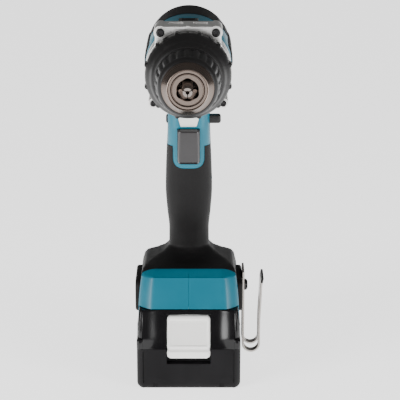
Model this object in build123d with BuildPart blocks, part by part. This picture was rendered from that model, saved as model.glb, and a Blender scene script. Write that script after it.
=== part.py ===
"""Cordless drill driver: clamshell body, brushless motor, three-stage gearbox, slip clutch,
keyless chuck, switch gear, belt hook and slide-on battery pack.

Frame: +Z up, -Y towards the chuck, +X towards the belt hook. The origin is the centre of the
battery's flat base. Units are millimetres.
"""

from build123d import *
import math
import os

# ---- driving dimensions ------------------------------------------------------------------
axis_z = 230.0  # spindle axis above the battery base
play = 0.3  # clearance between pieces that move past each other
seat = 0.05  # clearance between pieces that are fixed to each other
fit = 0.08  # radial clearance of a shaft that turns in its bore
skin = 1.5  # thickness of the moulded rubber
wall = 3.2  # total wall of the clamshell, rubber included

# stations along the spindle, front to rear
jaw_tip_y = -104.0
nose_y = -97.0
grip_back_y = -66.5
dial_front_y = -65.0
flange_y = -40.0
head_front_y = -16.0
gear_back_y = 8.0
stator_y = 17.0
fan_y = 52.0
head_back_y = 72.0

# head, handle and foot
head_r = 31.0
head_crown = 7.0  # radius of the rounded rear edge
bumper_proud = 1.0  # side bumpers stand this far off the head
foot_top_z = 84.0  # at the front; the top falls towards the rear
foot_fall = 0.123  # how much the foot's top falls per mm towards the rear
foot_top_front_y = -33.0
foot_bottom_z = 46.3
lip_z = 59.2  # underside of the foot in front of the rails
foot_half = 37.0
pad_half = 39.5  # half width over the two belt-hook pads
pad_top_z = 71.0
pad_half_length = 22.0
insert_z = 61.0  # height of the belt-hook screw

# battery pack
pack_half_width = 37.5
pack_half_length = 57.0
pack_split_z = 31.0
deck_z = 46.0  # top of the pack beside the rails
rail_top_z = 57.0
rail_half = 30.0
rail_neck_half = 26.0
rail_flange_z = 51.0  # underside of the rails' flanges
rail_back_y = 46.0
hood_back_y = -40.0
hood_top_z = 58.6
pack_wall = 2.2
cell_r = 9.2
cell_length = 65.0
button_half = 15.5

# chuck
jaw_r = 3.6
jaw_tilt = 16.0  # angle between a jaw and the spindle
jaw_length = 26.0
jaw_start_r = 2.2  # the jaw's own axis stands this far out at its tip
jaw_bite_r = 1.3  # half the opening between the jaws as stored
jaw_gap = 0.3  # half the space between neighbouring jaws
nose_hole_r = 6.9
nose_ring_r = 11.2
chuck_r = 18.0
grip_r = 22.6
nut_front_y = -84.0
nut_back_y = -79.0

# clutch
dial_r = 30.0
dial_bore_r = 22.4
snout_r = 16.0
snout_y = -58.0
clutch_pin_r = 2.4
clutch_pin_at = 18.75  # radius of the circle of clutch pins
wire_r = 0.9

# planetary gears
module = 0.75
press = math.radians(25)
addendum = 0.80 * module
dedendum = 1.10 * module
tooth_play = 0.14
ring_teeth = 48
ring_outer_r = 21.2
spindle_r = 6.3
rotor_shaft_r = 3.0

spindle_axis = Axis((0, 0, axis_z), (0, 1, 0))
os.makedirs("parts", exist_ok=True)


# ---- shared shapes -----------------------------------------------------------------------
def finish(piece, name):
    """Labels a finished piece and writes its STEP file."""
    piece.part.label = name
    export_step(piece.part, f"parts/{name}.step")


def turned(points):
    """A closed profile of (y, radius) points beside the spindle axis, ready to revolve."""
    with BuildSketch(Plane.YZ) as sketch:
        with BuildLine():
            Polyline(*[(y, axis_z + r) for y, r in points], close=True)
        make_face()
    return sketch.sketch


def ring(y_front, y_back, r_in, r_out):
    """The turned profile of a plain ring or disc."""
    return turned([(y_front, r_in), (y_back, r_in), (y_back, r_out), (y_front, r_out)])


def facing(y, x=0.0, z=axis_z):
    """A plane across the spindle that looks forwards, with its origin at (x, y, z)."""
    return Plane(origin=(x, y, z), x_dir=(1, 0, 0), z_dir=(0, -1, 0))


def side_face(points):
    """A face in the tool's middle plane from (y, z) points."""
    with BuildSketch(Plane.YZ) as sketch:
        with BuildLine():
            Polyline(*points, close=True)
        make_face()
    return sketch.sketch


def front_face(points, y):
    """A face across the tool at station y from (x, z) points, looking forwards."""
    with BuildSketch(facing(y, 0, 0)) as sketch:
        with BuildLine():
            Polyline(*points, close=True)
        make_face()
    return sketch.sketch


def block(x, y, z):
    """A plain block between pairs of limits, used as a cutter or to trim a shape."""
    with BuildPart(mode=Mode.PRIVATE) as made:
        with BuildSketch(Plane.XY.offset(z[0])):
            with Locations(((x[0] + x[1]) / 2, (y[0] + y[1]) / 2)):
                Rectangle(x[1] - x[0], y[1] - y[0])
        extrude(amount=z[1] - z[0])
    return made.part


def level(z, front, back, half, radius, fall=0.0):
    """A rounded rectangle at height z; its plane falls towards the rear from the foot's front."""
    stretch = math.hypot(1, fall)
    origin_y = foot_top_front_y if fall else 0.0
    plane = Plane(origin=(0, origin_y, z), x_dir=(1, 0, 0), z_dir=(0, fall, 1))
    with BuildSketch(plane) as sketch:
        with Locations((0, ((front + back) / 2 - origin_y) * stretch)):
            RectangleRounded(2 * half, (back - front) * stretch, radius)
    return sketch.sketch


def around(radius, count, first=0.0):
    """Evenly spaced (x, z) places round the spindle axis, measured from +X."""
    angles = [math.radians(first) + 2 * math.pi * k / count for k in range(count)]
    return [(radius * math.cos(a), radius * math.sin(a)) for a in angles]


# ---- clamshell form ----------------------------------------------------------------------
# height, front, back, half width, corner radius, share of the inset taken off the height,
# share of the foot's fall
neck_level = (95.0, 0.5, 44.0, 15.0, 13.0, 0.4, 1)
shoulder_level = (foot_top_z, foot_top_front_y, 52.5, 32.5, 9.0, 1, 1)
handle_levels = [
    (axis_z - head_r + 8, -17.5, 33.0, 15.3, 9.0, 0, 0),
    (axis_z - 44, -17.5, 33.0, 15.5, 9.0, 0, 0),
    (axis_z - 60, -15.0, 33.5, 16.0, 11.0, 0, 0),
    (axis_z - 78, -11.0, 36.0, 16.8, 13.5, 0, 0),
    (axis_z - 95, -8.0, 39.0, 17.2, 14.5, 0, 0),
    (foot_top_z + 34, -4.5, 41.5, 16.2, 14.0, 0, 0),
    (foot_top_z + 18, -0.5, 43.0, 14.8, 13.0, 0, 0),
    neck_level,
]
flare_levels = [
    neck_level,
    (90.5, -3.5, 46.0, 18.5, 13.0, 0.8, 1),
    (87.0, -13.0, 49.0, 25.5, 12.0, 1, 1),
    shoulder_level,
]
foot_levels = [
    shoulder_level,
    (foot_top_z - 4.8, -41.5, 54.0, 34.5, 9.0, 1, 0.8),
    (lip_z, -50.0, 56.0, foot_half - 0.4, 9.5, 0, 0),
    (foot_bottom_z, -50.0, 56.5, foot_half, 9.5, 0, 0),
]


def stack(levels, inset, smooth):
    """Lofts rounded rectangles, each drawn in by the inset."""
    sections = [
        level(z - inset * drop, front + inset, back - inset, half - inset,
              max(radius - inset, 1.5), foot_fall * share)
        for z, front, back, half, radius, drop, share in levels
    ]
    return loft(sections, ruled=not smooth)


def clamshell_form(inset):
    """The body's outer form, drawn in by the inset: head, handle, flare and foot."""
    radius = head_r - inset
    back = head_back_y - inset
    crown = head_crown - min(inset, 3)
    with BuildPart() as form:
        with BuildSketch(Plane.YZ):
            with BuildLine():
                Polyline(
                    (back, axis_z), (head_front_y, axis_z), (head_front_y, axis_z + radius),
                    (back - crown, axis_z + radius),
                )
                RadiusArc((back - crown, axis_z + radius), (back, axis_z + radius - crown), crown)
                Line((back, axis_z + radius - crown), (back, axis_z))
            make_face()
        revolve(axis=spindle_axis)
        stack(handle_levels, inset, True)
        stack(flare_levels, inset, True)
        stack(foot_levels, inset, False)
    return form.part


foot_floor_z = rail_top_z + play + 2.4  # top of the plate that carries the rails
outer_form = clamshell_form(0)
moulded_form = clamshell_form(skin)
inner_form = clamshell_form(wall)

# openings through the shell
lever_z = axis_z - 40.0
lever_height = 6.4
lever_y = (-10.0, -3.0)
lever_x = (-16.4, 23.3)
lens_y = -18.2
lens_z = (axis_z - 43.8, axis_z - 36.8)
trigger_half = 7.8
trigger_z = (axis_z - 71.4, axis_z - 45.4)
trigger_travel = 6.0
speed_half = 7.0
speed_travel = 6.0
speed_y = (-13.0, 0.0)
vent_half_height = 1.2
screw_r = 1.5
screw_head_r = 3.0
boss_r = 3.8
screw_places = [  # y, z
    (24.0, axis_z - head_r - 3.0), (2.5, axis_z - 85.0), (31.0, foot_top_z + 24.0),
    (45.0, foot_top_z - 16.0), (-33.0, foot_top_z - 13.0),
    (64.2, axis_z - 19.0), (64.2, axis_z + 19.0),
]
screw_head_x = 8.5

# the rubber covers the handle, the foot behind its nose and the head's rear
rubber_outline = side_face([
    (-60, axis_z - 59), (4, axis_z - 59), (22, axis_z - 44), (36, axis_z - 24), (46, axis_z - 2),
    (51, axis_z + head_r + 3), (80, axis_z + head_r + 3),
    (80, 40), (-23, 40), (-31, foot_top_z), (-60, foot_top_z),
])
bumper_z = (axis_z - 4, axis_z + 12)
bumper_y = (2.0, 60.0)
trigger_guard_half = 11.5
trigger_guard_z = axis_z - 77.0

with BuildPart() as hook_pads:
    with BuildSketch(Plane.YZ.offset(foot_half - 3.0)):
        with Locations((0, (foot_bottom_z + pad_top_z) / 2)):
            RectangleRounded(2 * pad_half_length, pad_top_z - foot_bottom_z, 6)
    extrude(amount=pad_half - foot_half + 3.0)
    mirror(about=Plane.YZ)

with BuildPart() as rubber:
    add(outer_form)
    add(moulded_form, mode=Mode.SUBTRACT)
    add(hook_pads.part, mode=Mode.SUBTRACT)
    extrude(rubber_outline, amount=50, both=True, mode=Mode.INTERSECT)
    add(block((-trigger_guard_half, trigger_guard_half), (-40, 4), (trigger_guard_z, axis_z - 50)),
        mode=Mode.SUBTRACT)

with BuildPart() as bumpers:
    revolve(ring(bumper_y[0], bumper_y[1], head_r - skin, head_r + bumper_proud), axis=spindle_axis)
    add(block((-50, 50), (-10, 80), bumper_z), mode=Mode.INTERSECT)

with BuildPart() as openings:
    # battery space: flange slot, rail channel, the lip over the pack's hood and the latch notch
    add(block((-rail_neck_half - play, rail_neck_half + play), (-70, rail_back_y + play),
              (foot_bottom_z - 5, rail_top_z + play)))
    add(block((-rail_half - play, rail_half + play), (-70, rail_back_y + play),
              (rail_flange_z - play, rail_top_z + play)))
    add(block((-50, 50), (-70, hood_back_y + play), (foot_bottom_z - 5, lip_z)))
    add(block((-8.5, 8.5), (-70, hood_back_y + play), (lip_z - 1, lip_z + 2)))
    # the gear housing's casting
    revolve(ring(flange_y, head_front_y, 0, head_r), axis=spindle_axis)
    # lamp, trigger, direction lever and speed lever
    extrude(front_face([(-7.8, lens_z[1]), (7.8, lens_z[1]), (5.8, lens_z[0]), (-5.8, lens_z[0])],
                       -12), amount=20)
    add(block((-trigger_half - play, trigger_half + play), (-40, -5),
              (trigger_z[0] - play, trigger_z[1] + play)))
    add(block((-30, 30), (lever_y[0] - play, lever_y[1] + play),
              (lever_z - lever_height / 2 - play, lever_z + lever_height / 2 + play)))
    add(block((-speed_half - play, speed_half + play),
              (speed_y[0] - play, speed_y[1] + speed_travel + play), (axis_z + 20, axis_z + 40)))
    # air leaves beside the fan and comes in ahead of the windings
    for row in range(-2, 3):
        for front in (stator_y + 1.0, fan_y - 1.0):
            add(block((-40, 40), (front, front + 9),
                      (axis_z - 13 + 6 * row - vent_half_height,
                       axis_z - 13 + 6 * row + vent_half_height)))

with BuildPart() as boss_posts:
    for y, z in screw_places:
        with BuildSketch(Plane.YZ):
            with Locations((y, z)):
                Circle(boss_r)
        extrude(amount=40, both=True)
    add(moulded_form, mode=Mode.INTERSECT)

insert_r = 3.2
insert_length = 8.0
rear_bearing_r = 9.5
for name, side in (("right", 1), ("left", -1)):
    half = block((0, 60) if side > 0 else (-60, 0), (-80, 90),
                 (20, axis_z + head_r + 20))
    with BuildPart() as shell:
        add(outer_form)
        add(inner_form, mode=Mode.SUBTRACT)
        # the plate over the battery space closes the foot
        add(moulded_form & block((-40, 40), (-60, 60), (foot_bottom_z, foot_floor_z)))
        add(boss_posts.part)
        add(hook_pads.part)
        # pocket for the motor's rear bearing
        revolve(ring(61.5, head_back_y - wall + 0.5, rear_bearing_r + seat, rear_bearing_r + 3),
                axis=spindle_axis)
        add(rubber.part, mode=Mode.SUBTRACT)
        add(bumpers.part, mode=Mode.SUBTRACT)
        add(openings.part, mode=Mode.SUBTRACT)
        for y, z in screw_places:
            with BuildSketch(Plane.YZ) as screw_hole:
                with Locations((y, z)):
                    Circle(screw_r + seat)
            extrude(amount=screw_head_x + 1, mode=Mode.SUBTRACT)
            extrude(screw_hole.sketch, amount=-9, mode=Mode.SUBTRACT)
            with BuildSketch(Plane.YZ.offset(screw_head_x)):
                with Locations((y, z)):
                    Circle(screw_head_r + seat)
            extrude(amount=40, mode=Mode.SUBTRACT)
        with BuildSketch(Plane.YZ.offset(side * (pad_half - insert_length))):
            with Locations((0, insert_z)):
                Circle(insert_r + seat)
        extrude(amount=side * 10, mode=Mode.SUBTRACT)
        add(half, mode=Mode.INTERSECT)
    finish(shell, f"housing_{name}")

    with BuildPart() as grip:
        add(rubber.part)
        add(bumpers.part)
        add(openings.part, mode=Mode.SUBTRACT)
        for y, z in screw_places:
            with BuildSketch(Plane.YZ.offset(screw_head_x)):
                with Locations((y, z)):
                    Circle(screw_head_r + seat)
            extrude(amount=40, mode=Mode.SUBTRACT)
        add(half, mode=Mode.INTERSECT)
    finish(grip, f"grip_{name}")

# ---- gears -------------------------------------------------------------------------------
def involute(angle):
    """The involute function of a pressure angle."""
    return math.tan(angle) - angle


def gear_face(teeth, y, x=0.0, z=0.0, turn=0.0, internal=False):
    """A toothed outline at station y about the point (x, z) from the spindle axis."""
    pitch_r = module * teeth / 2
    base_r = pitch_r * math.cos(press)
    if internal:
        low, high, steps = pitch_r - addendum, pitch_r + dedendum, 2
    else:
        low, high, steps = pitch_r - dedendum, pitch_r + addendum, 3
    start = max(low, base_r)
    radii = [start + (high - start) * k / (steps - 1) for k in range(steps)]
    if start > low:
        radii = [low] + radii
    thinning = (1 if internal else -1) * tooth_play / 4 / pitch_r
    halves = [
        math.pi / 2 / teeth + thinning + involute(press)
        - involute(math.acos(min(1.0, base_r / r)))
        for r in radii
    ]
    points = []
    for tooth in range(teeth):
        centre = 2 * math.pi * tooth / teeth + turn
        points += [(r, centre - h) for r, h in zip(radii, halves)]
        points += [(r, centre + h) for r, h in zip(reversed(radii), reversed(halves))]
    return front_face(
        [(x + r * math.cos(a), axis_z + z + r * math.sin(a)) for r, a in points], y)


# name, sun teeth, planet teeth, pin radius, planet front, planet back
stages = [
    (1, 18, 15, 2.0, 0.5, 6.5),
    (2, 18, 15, 2.0, -13.0, -7.0),
    (3, 24, 12, 1.6, -26.5, -18.5),
]
pin_circle = {n: module * (sun + planet) / 2 for n, sun, planet, *_ in stages}
plates = {1: (-4.0, -1.0), 2: (-17.3, -14.3), 3: (-30.5, -27.5)}
rings = {1: (0.0, gear_back_y - 1), 2: (-13.3, -6.7), 3: (-27.0, -18.0)}
plate_r = {1: 15.6, 2: 15.6, 3: 16.2}
stage_of = {n: (sun, planet, pin, front, back) for n, sun, planet, pin, front, back in stages}

for n, (sun, planet, pin, front, back) in stage_of.items():
    for k, (x, z) in enumerate(around(pin_circle[n], 3)):
        swing = 2 * math.pi * k / 3
        with BuildPart() as planet_gear:
            extrude(gear_face(planet, back, x, z, swing * (1 - ring_teeth / planet)),
                    amount=back - front)
            with BuildSketch(facing(back)):
                with Locations((x, z)):
                    Circle(pin + fit)
            extrude(amount=back - front, mode=Mode.SUBTRACT)
        finish(planet_gear, f"planet_{n}_{k + 1}")

    front_y, back_y = rings[n]
    with BuildPart() as ring_gear:
        revolve(ring(front_y, back_y, 0, ring_outer_r), axis=spindle_axis)
        extrude(gear_face(ring_teeth, back_y, internal=True), amount=back_y - front_y,
                mode=Mode.SUBTRACT)
        if n == 2:
            # groove for the speed lever's fork
            revolve(ring(-11.0, -9.0, ring_outer_r - 1, ring_outer_r + 1), axis=spindle_axis,
                    mode=Mode.SUBTRACT)
    finish(ring_gear, f"ring_gear_{n}")


def pinned_plate(n):
    """A planet carrier: its plate with three pins that reach back through the planets."""
    front, back = plates[n]
    sun, planet, pin, _, planet_back = stage_of[n]
    with BuildPart() as made:
        revolve(ring(front, back, 0, plate_r[n]), axis=spindle_axis)
        for x, z in around(pin_circle[n], 3):
            with BuildSketch(facing(planet_back + 0.4)):
                with Locations((x, z)):
                    Circle(pin)
            extrude(amount=planet_back + 0.4 - back)
    return made.part


for n in (1, 2):
    sun, planet, _, front, back = stage_of[n + 1]
    turn = math.pi / sun if planet % 2 == 0 else 0.0
    with BuildPart() as carrier:
        add(pinned_plate(n))
        extrude(gear_face(sun, plates[n][0], turn=turn), amount=plates[n][0] - front)
        with BuildSketch(facing(plates[n][1])):
            Circle(2.0)
        extrude(amount=plates[n][1] - front, mode=Mode.SUBTRACT)
    finish(carrier, f"carrier_{n}")

spindle_front_y = -70.0
with BuildPart() as spindle:
    add(pinned_plate(3))
    revolve(ring(spindle_front_y, plates[3][0], 0, spindle_r), axis=spindle_axis)
    with BuildSketch(facing(spindle_front_y + 16)):
        Circle(2.6)
    extrude(amount=20, mode=Mode.SUBTRACT)
    chamfer(spindle.faces().sort_by(Axis.Y)[0].outer_wire().edges(), 0.6)
finish(spindle, "spindle")

# ---- gear housing, bearings and motor ------------------------------------------------------
inner_r = head_r - wall - seat  # what fits inside the clamshell's barrel
bearing_out_r = 11.5
bearing_stations = [(-56.0, -51.0), (-41.0, -36.0)]
rotor_bearings = [(gear_back_y + 0.5, gear_back_y + 5.0, 9.0), (62.0, 67.0, rear_bearing_r)]
upper_ear = (0.5607 * (dial_r + 4.42), 0.8280 * (dial_r + 4.42))  # clear of the dial
lower_ear = (0.7516 * (dial_r + 2.6), -0.6595 * (dial_r + 2.6))
ears = [(side * x, z, ear, head) for (x, z), ear, head in ((upper_ear, 4.6, 3.0), (lower_ear, 3.6, 2.2))
        for side in (1, -1)]  # x, z from the axis, ear radius, screw head radius
flange_r = dial_r + 0.5
casting_low_z = -8.5
casting_back_y = head_front_y - 0.2
front_wall_y = -31.5
casting_screw_length = 20.0

with BuildPart() as gear_housing:
    revolve(turned([
        (snout_y, spindle_r + 1), (-43.5, spindle_r + 1), (-43.5, 0), (gear_back_y, 0),
        (gear_back_y, inner_r), (casting_back_y, inner_r), (casting_back_y, flange_r),
        (flange_y, flange_r), (flange_y, snout_r), (snout_y, snout_r),
    ]), axis=spindle_axis)
    # square-shouldered casting, with an ear round each screw
    with BuildSketch(facing(casting_back_y)):
        casting_top_z = upper_ear[1] + 4.0
        with Locations((0, (casting_low_z + casting_top_z) / 2)):
            RectangleRounded(2 * (upper_ear[0] + 3.7), casting_top_z - casting_low_z, 4.0)
        for x, z, ear, _ in ears:
            with Locations((x, z)):
                Circle(ear)
    extrude(amount=casting_back_y - flange_y)
    revolve(ring(front_wall_y, gear_back_y + 1, 0, ring_outer_r + fit), axis=spindle_axis,
            mode=Mode.SUBTRACT)
    revolve(ring(snout_y - 1, front_wall_y + 1, 0, spindle_r + 1), axis=spindle_axis,
            mode=Mode.SUBTRACT)
    for front, back in bearing_stations:
        revolve(ring(front, back, 0, bearing_out_r), axis=spindle_axis, mode=Mode.SUBTRACT)
    revolve(ring(snout_y - 1, bearing_stations[0][0] + 1, 0, bearing_out_r), axis=spindle_axis,
            mode=Mode.SUBTRACT)
    with BuildSketch(facing(front_wall_y + 1)):
        for x, z in around(clutch_pin_at, 6, 30):
            with Locations((x, z)):
                Circle(clutch_pin_r + fit)
    extrude(amount=20, mode=Mode.SUBTRACT)
    with BuildSketch(facing(flange_y + casting_screw_length)):
        for x, z, _, _ in ears:
            with Locations((x, z)):
                Circle(screw_r + seat)
    extrude(amount=casting_screw_length + 5, mode=Mode.SUBTRACT)
    # slot for the speed lever's fork
    add(block((-4.2, 4.2), (-12.2, -9.0 + speed_travel + 1.2), (axis_z + 15, axis_z + 40)),
        mode=Mode.SUBTRACT)
finish(gear_housing, "gear_housing")

with BuildPart() as bearings:
    for front, back in bearing_stations:
        revolve(ring(front + seat, back - seat, spindle_r + fit, bearing_out_r - seat),
                axis=spindle_axis)
    for front, back, outer in rotor_bearings:
        revolve(ring(front, back, rotor_shaft_r + fit, outer), axis=spindle_axis)
finish(bearings, "bearings")

with BuildPart() as motor_plate:
    revolve(ring(gear_back_y + seat, gear_back_y + 5.5, 0, inner_r), axis=spindle_axis)
    revolve(ring(gear_back_y, rotor_bearings[0][1] + seat, 0, rotor_bearings[0][2] + seat),
            axis=spindle_axis, mode=Mode.SUBTRACT)
    revolve(ring(gear_back_y, gear_back_y + 6, 0, rotor_shaft_r + 1), axis=spindle_axis,
            mode=Mode.SUBTRACT)
finish(motor_plate, "motor_plate")

stator_back_y = 43.0
stator_bore_r = 15.6
slots = 6
with BuildPart() as stator_core:
    revolve(ring(stator_y, stator_back_y, stator_bore_r, inner_r), axis=spindle_axis)
    for x, z in around(stator_bore_r + 3.5, slots, 30):
        with BuildSketch(facing(stator_back_y)):
            with Locations((x, z)):
                Circle(3.0)
        extrude(amount=stator_back_y - stator_y, mode=Mode.SUBTRACT)
finish(stator_core, "stator_core")

coil_end = 2.5
with BuildPart() as stator_coils:
    for front, back in ((stator_y - coil_end, stator_y - seat),
                        (stator_back_y + seat, stator_back_y + coil_end)):
        revolve(ring(front, back, stator_bore_r + 0.6, 24.5), axis=spindle_axis)
    for x, z in around(stator_bore_r + 3.5, slots, 30):
        with BuildSketch(facing(stator_back_y + 1)):
            with Locations((x, z)):
                Circle(2.8)
        extrude(amount=stator_back_y - stator_y + 2)
finish(stator_coils, "stator_coils")

with BuildPart() as sensor_board:
    revolve(ring(stator_back_y + coil_end + seat, stator_back_y + coil_end + 1.6, 8, inner_r),
            axis=spindle_axis)
finish(sensor_board, "sensor_board")

with BuildPart() as rotor_shaft:
    revolve(ring(stage_of[1][3], 67.5, 0, rotor_shaft_r), axis=spindle_axis)
    extrude(gear_face(stage_of[1][0], stage_of[1][4] + 0.3),
            amount=stage_of[1][4] + 0.3 - stage_of[1][3])
finish(rotor_shaft, "rotor_shaft")

rotor_r = 15.1
with BuildPart() as rotor_core:
    revolve(ring(stator_y - 0.5, stator_back_y + 0.5, rotor_shaft_r + seat, rotor_r),
            axis=spindle_axis)
    for x, z in around(rotor_r - 3, 4, 45):
        with BuildSketch(facing(stator_back_y + 1)):
            with Locations((x, z)):
                Circle(1.6)
        extrude(amount=40, mode=Mode.SUBTRACT)
finish(rotor_core, "rotor_core")

fan_r = 24.0
with BuildPart() as fan:
    revolve(turned([(fan_y, rotor_shaft_r + seat), (fan_y + 6, rotor_shaft_r + seat),
                    (fan_y + 6, 7), (fan_y + 1.6, 9), (fan_y + 1.6, fan_r), (fan_y, fan_r)]),
            axis=spindle_axis)
    for x, z in around(16.0, 12):
        tilt = math.degrees(math.atan2(z, x)) + 35
        with BuildSketch(facing(fan_y + 7)):
            with Locations(Location((x, z, 0), (0, 0, tilt))):
                Rectangle(12, 1.2)
        extrude(amount=6.5)
finish(fan, "fan")

# ---- chuck ---------------------------------------------------------------------------------
tilt = math.radians(jaw_tilt)


def jaw_axis_r(y):
    """Distance of a jaw's own axis from the spindle axis at station y."""
    return jaw_start_r + (y - jaw_tip_y) * math.tan(tilt)


def jaw_plane(y):
    """A plane square to the top jaw's own axis, where that axis crosses station y."""
    return Plane(origin=(0, y, axis_z + jaw_axis_r(y)), x_dir=(1, 0, 0),
                 z_dir=(0, math.cos(tilt), math.sin(tilt)))


jaw_step = math.cos(tilt)
with BuildPart(mode=Mode.PRIVATE) as jaw_blank:
    with BuildSketch(jaw_plane(jaw_tip_y - 3)):
        Circle(jaw_r)
    extrude(amount=jaw_length / jaw_step + 3)
    # conical tip, the two flats that face the other jaws, and the land that grips
    revolve(turned([(jaw_tip_y, 0), (jaw_tip_y, 3.1), (jaw_tip_y + 7, 6.4), (-40, 30), (-40, 0)]),
            axis=spindle_axis, mode=Mode.INTERSECT)
    with BuildSketch(facing(-40)):
        with BuildLine():
            reach = 40.0
            near = 2 * jaw_gap / math.sqrt(3)
            Polyline((0, near), (reach * math.sin(math.radians(60)), near + reach / 2),
                     (0, reach * 1.5), (-reach * math.sin(math.radians(60)), near + reach / 2),
                     close=True)
        make_face()
    extrude(amount=80, mode=Mode.INTERSECT)
    with BuildSketch(facing(-40)):
        Circle(jaw_bite_r)
    extrude(amount=80, mode=Mode.SUBTRACT)
for k in range(3):
    with BuildPart() as jaw:
        add(jaw_blank.part.rotate(spindle_axis, 120 * k))
    finish(jaw, f"chuck_jaw_{k + 1}")

with BuildPart(mode=Mode.PRIVATE) as jaw_bore:
    with BuildSketch(jaw_plane(jaw_tip_y - 10)):
        Circle(jaw_r + fit)
    extrude(amount=70)

chuck_back_y = -58.5
with BuildPart() as chuck_body:
    revolve(turned([
        (nose_y + 0.6, nose_hole_r), (nose_y + 0.6, nose_ring_r), (-90.0, nose_ring_r + 0.6),
        (-88.4, chuck_r), (nut_front_y - play, chuck_r), (nut_front_y - play, 11.0),
        (nut_back_y + play, 11.0), (nut_back_y + play, chuck_r), (-66, chuck_r), (-63, 14),
        (chuck_back_y, 12), (chuck_back_y, spindle_r + seat), (spindle_front_y - seat, spindle_r + seat),
        (spindle_front_y - seat, 2.7), (spindle_front_y - 2, 2.7), (spindle_front_y - 2, nose_hole_r),
    ]), axis=spindle_axis)
    for k in range(3):
        add(jaw_bore.part.rotate(spindle_axis, 120 * k), mode=Mode.SUBTRACT)
finish(chuck_body, "chuck_body")

with BuildPart() as chuck_screw:
    revolve(turned([(-75.5, 0), (-75.5, 4.4), (-72, 4.4), (-72, 2.55), (-56, 2.55), (-56, 0)]),
            axis=spindle_axis)
    with BuildSketch(facing(-74)):
        RegularPolygon(2.2, 6)
    extrude(amount=3, mode=Mode.SUBTRACT)
finish(chuck_screw, "chuck_screw")

nut_edge = jaw_r / jaw_step + 0.15
nut_r = chuck_r + 0.35
with BuildPart() as chuck_nut:
    revolve(turned([
        (nut_front_y, jaw_axis_r(nut_front_y) + nut_edge), (nut_front_y, nut_r),
        (nut_back_y, nut_r), (nut_back_y, jaw_axis_r(nut_back_y) + nut_edge),
    ]), axis=spindle_axis)
finish(chuck_nut, "chuck_nut")

sleeve_in_r = nut_r + seat
sleeve_out_r = sleeve_in_r + 1.1
with BuildPart() as chuck_sleeve:
    revolve(turned([
        (nose_y, 13.2), (nose_y + 1.0, 13.9), (-90.5, 17.9), (-88.5, sleeve_out_r),
        (grip_back_y, sleeve_out_r), (grip_back_y, sleeve_in_r), (-89.2, sleeve_in_r),
        (-91.2, nose_ring_r + 1.2), (nose_y, nose_ring_r + 0.4),
    ]), axis=spindle_axis)
finish(chuck_sleeve, "chuck_sleeve")

with BuildPart() as chuck_grip:
    revolve(turned([
        (-87.2, sleeve_out_r + seat), (-87.2, 20.0), (-86.4, 20.6), (-72, grip_r),
        (grip_back_y - 0.8, grip_r), (grip_back_y, grip_r - 0.6), (grip_back_y, sleeve_out_r + seat),
    ]), axis=spindle_axis)
    with BuildSketch(facing(-69)):
        for x, z in around(grip_r + 0.6, 24):
            with Locations((x, z)):
                Circle(1.3)
    extrude(amount=16, mode=Mode.SUBTRACT)
finish(chuck_grip, "chuck_grip")

# ---- clutch --------------------------------------------------------------------------------
nut_y = (-56.0, -52.0)
washer_y = (-42.6, -41.6)
with BuildPart() as clutch_dial:
    revolve(turned([
        (dial_front_y, grip_r + 0.8 - 2.0), (dial_front_y, grip_r + 0.8), (-62, 25.4), (-57, 26.6),
        (-53, dial_r - 1.2), (-49, dial_r), (flange_y - play, dial_r), (flange_y - play, dial_bore_r),
        (-60.5, dial_bore_r), (-62, grip_r + 0.8 - 2.0),
    ]), axis=spindle_axis)
    with BuildSketch(facing(-43)):
        for x, z in around(dial_r - 0.4, 12, 15):
            with Locations((x, z)):
                Circle(1.8)
    extrude(amount=9)
    # two inner keys carry the spring nut round
    for side in (-1, 1):
        add(block((side * 21.8 - 1.2, side * 21.8 + 1.2), (-57.5, -44.5), (axis_z - 2, axis_z + 2)))
finish(clutch_dial, "clutch_dial")

with BuildPart() as clutch_nut:
    revolve(ring(nut_y[0], nut_y[1], snout_r + fit, dial_bore_r - play), axis=spindle_axis)
    for side in (-1, 1):
        add(block((side * 21.8 - 1.5, side * 21.8 + 1.5), (-58, -50), (axis_z - 2.3, axis_z + 2.3)),
            mode=Mode.SUBTRACT)
finish(clutch_nut, "clutch_nut")

turns = 3
spring_length = washer_y[0] - nut_y[1] - 2 * wire_r - 0.2
with BuildPart() as clutch_spring:
    with BuildLine() as coil:
        Helix(pitch=spring_length / turns, height=spring_length, radius=clutch_pin_at,
              center=(0, nut_y[1] + wire_r + 0.1, axis_z), direction=(0, 1, 0))
    with BuildSketch(Plane(origin=coil.line @ 0, z_dir=coil.line % 0)):
        Circle(wire_r)
    sweep(path=coil.line, is_frenet=True)
finish(clutch_spring, "clutch_spring")

with BuildPart() as clutch_washer:
    revolve(ring(washer_y[0], washer_y[1], snout_r + fit, 21.6), axis=spindle_axis)
finish(clutch_washer, "clutch_washer")

with BuildPart() as clutch_pins:
    for x, z in around(clutch_pin_at, 6, 30):
        with BuildSketch(facing(rings[3][0] - seat)):
            with Locations((x, z)):
                Circle(clutch_pin_r)
        extrude(amount=rings[3][0] - seat - washer_y[1] - seat)
    chamfer(clutch_pins.edges().filter_by(GeomType.CIRCLE).group_by(Axis.Y)[-1], 0.8)
finish(clutch_pins, "clutch_pins")

# ---- screws of the body --------------------------------------------------------------------
with BuildPart() as housing_screws:
    for y, z in screw_places:
        with BuildSketch(Plane.YZ.offset(-8.5)):
            with Locations((y, z)):
                Circle(screw_r)
        extrude(amount=screw_head_x + 8.5 + seat)
        with BuildSketch(Plane.YZ.offset(screw_head_x + seat)):
            with Locations((y, z)):
                Circle(screw_head_r)
        extrude(amount=2.2)
finish(housing_screws, "housing_screws")

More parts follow.
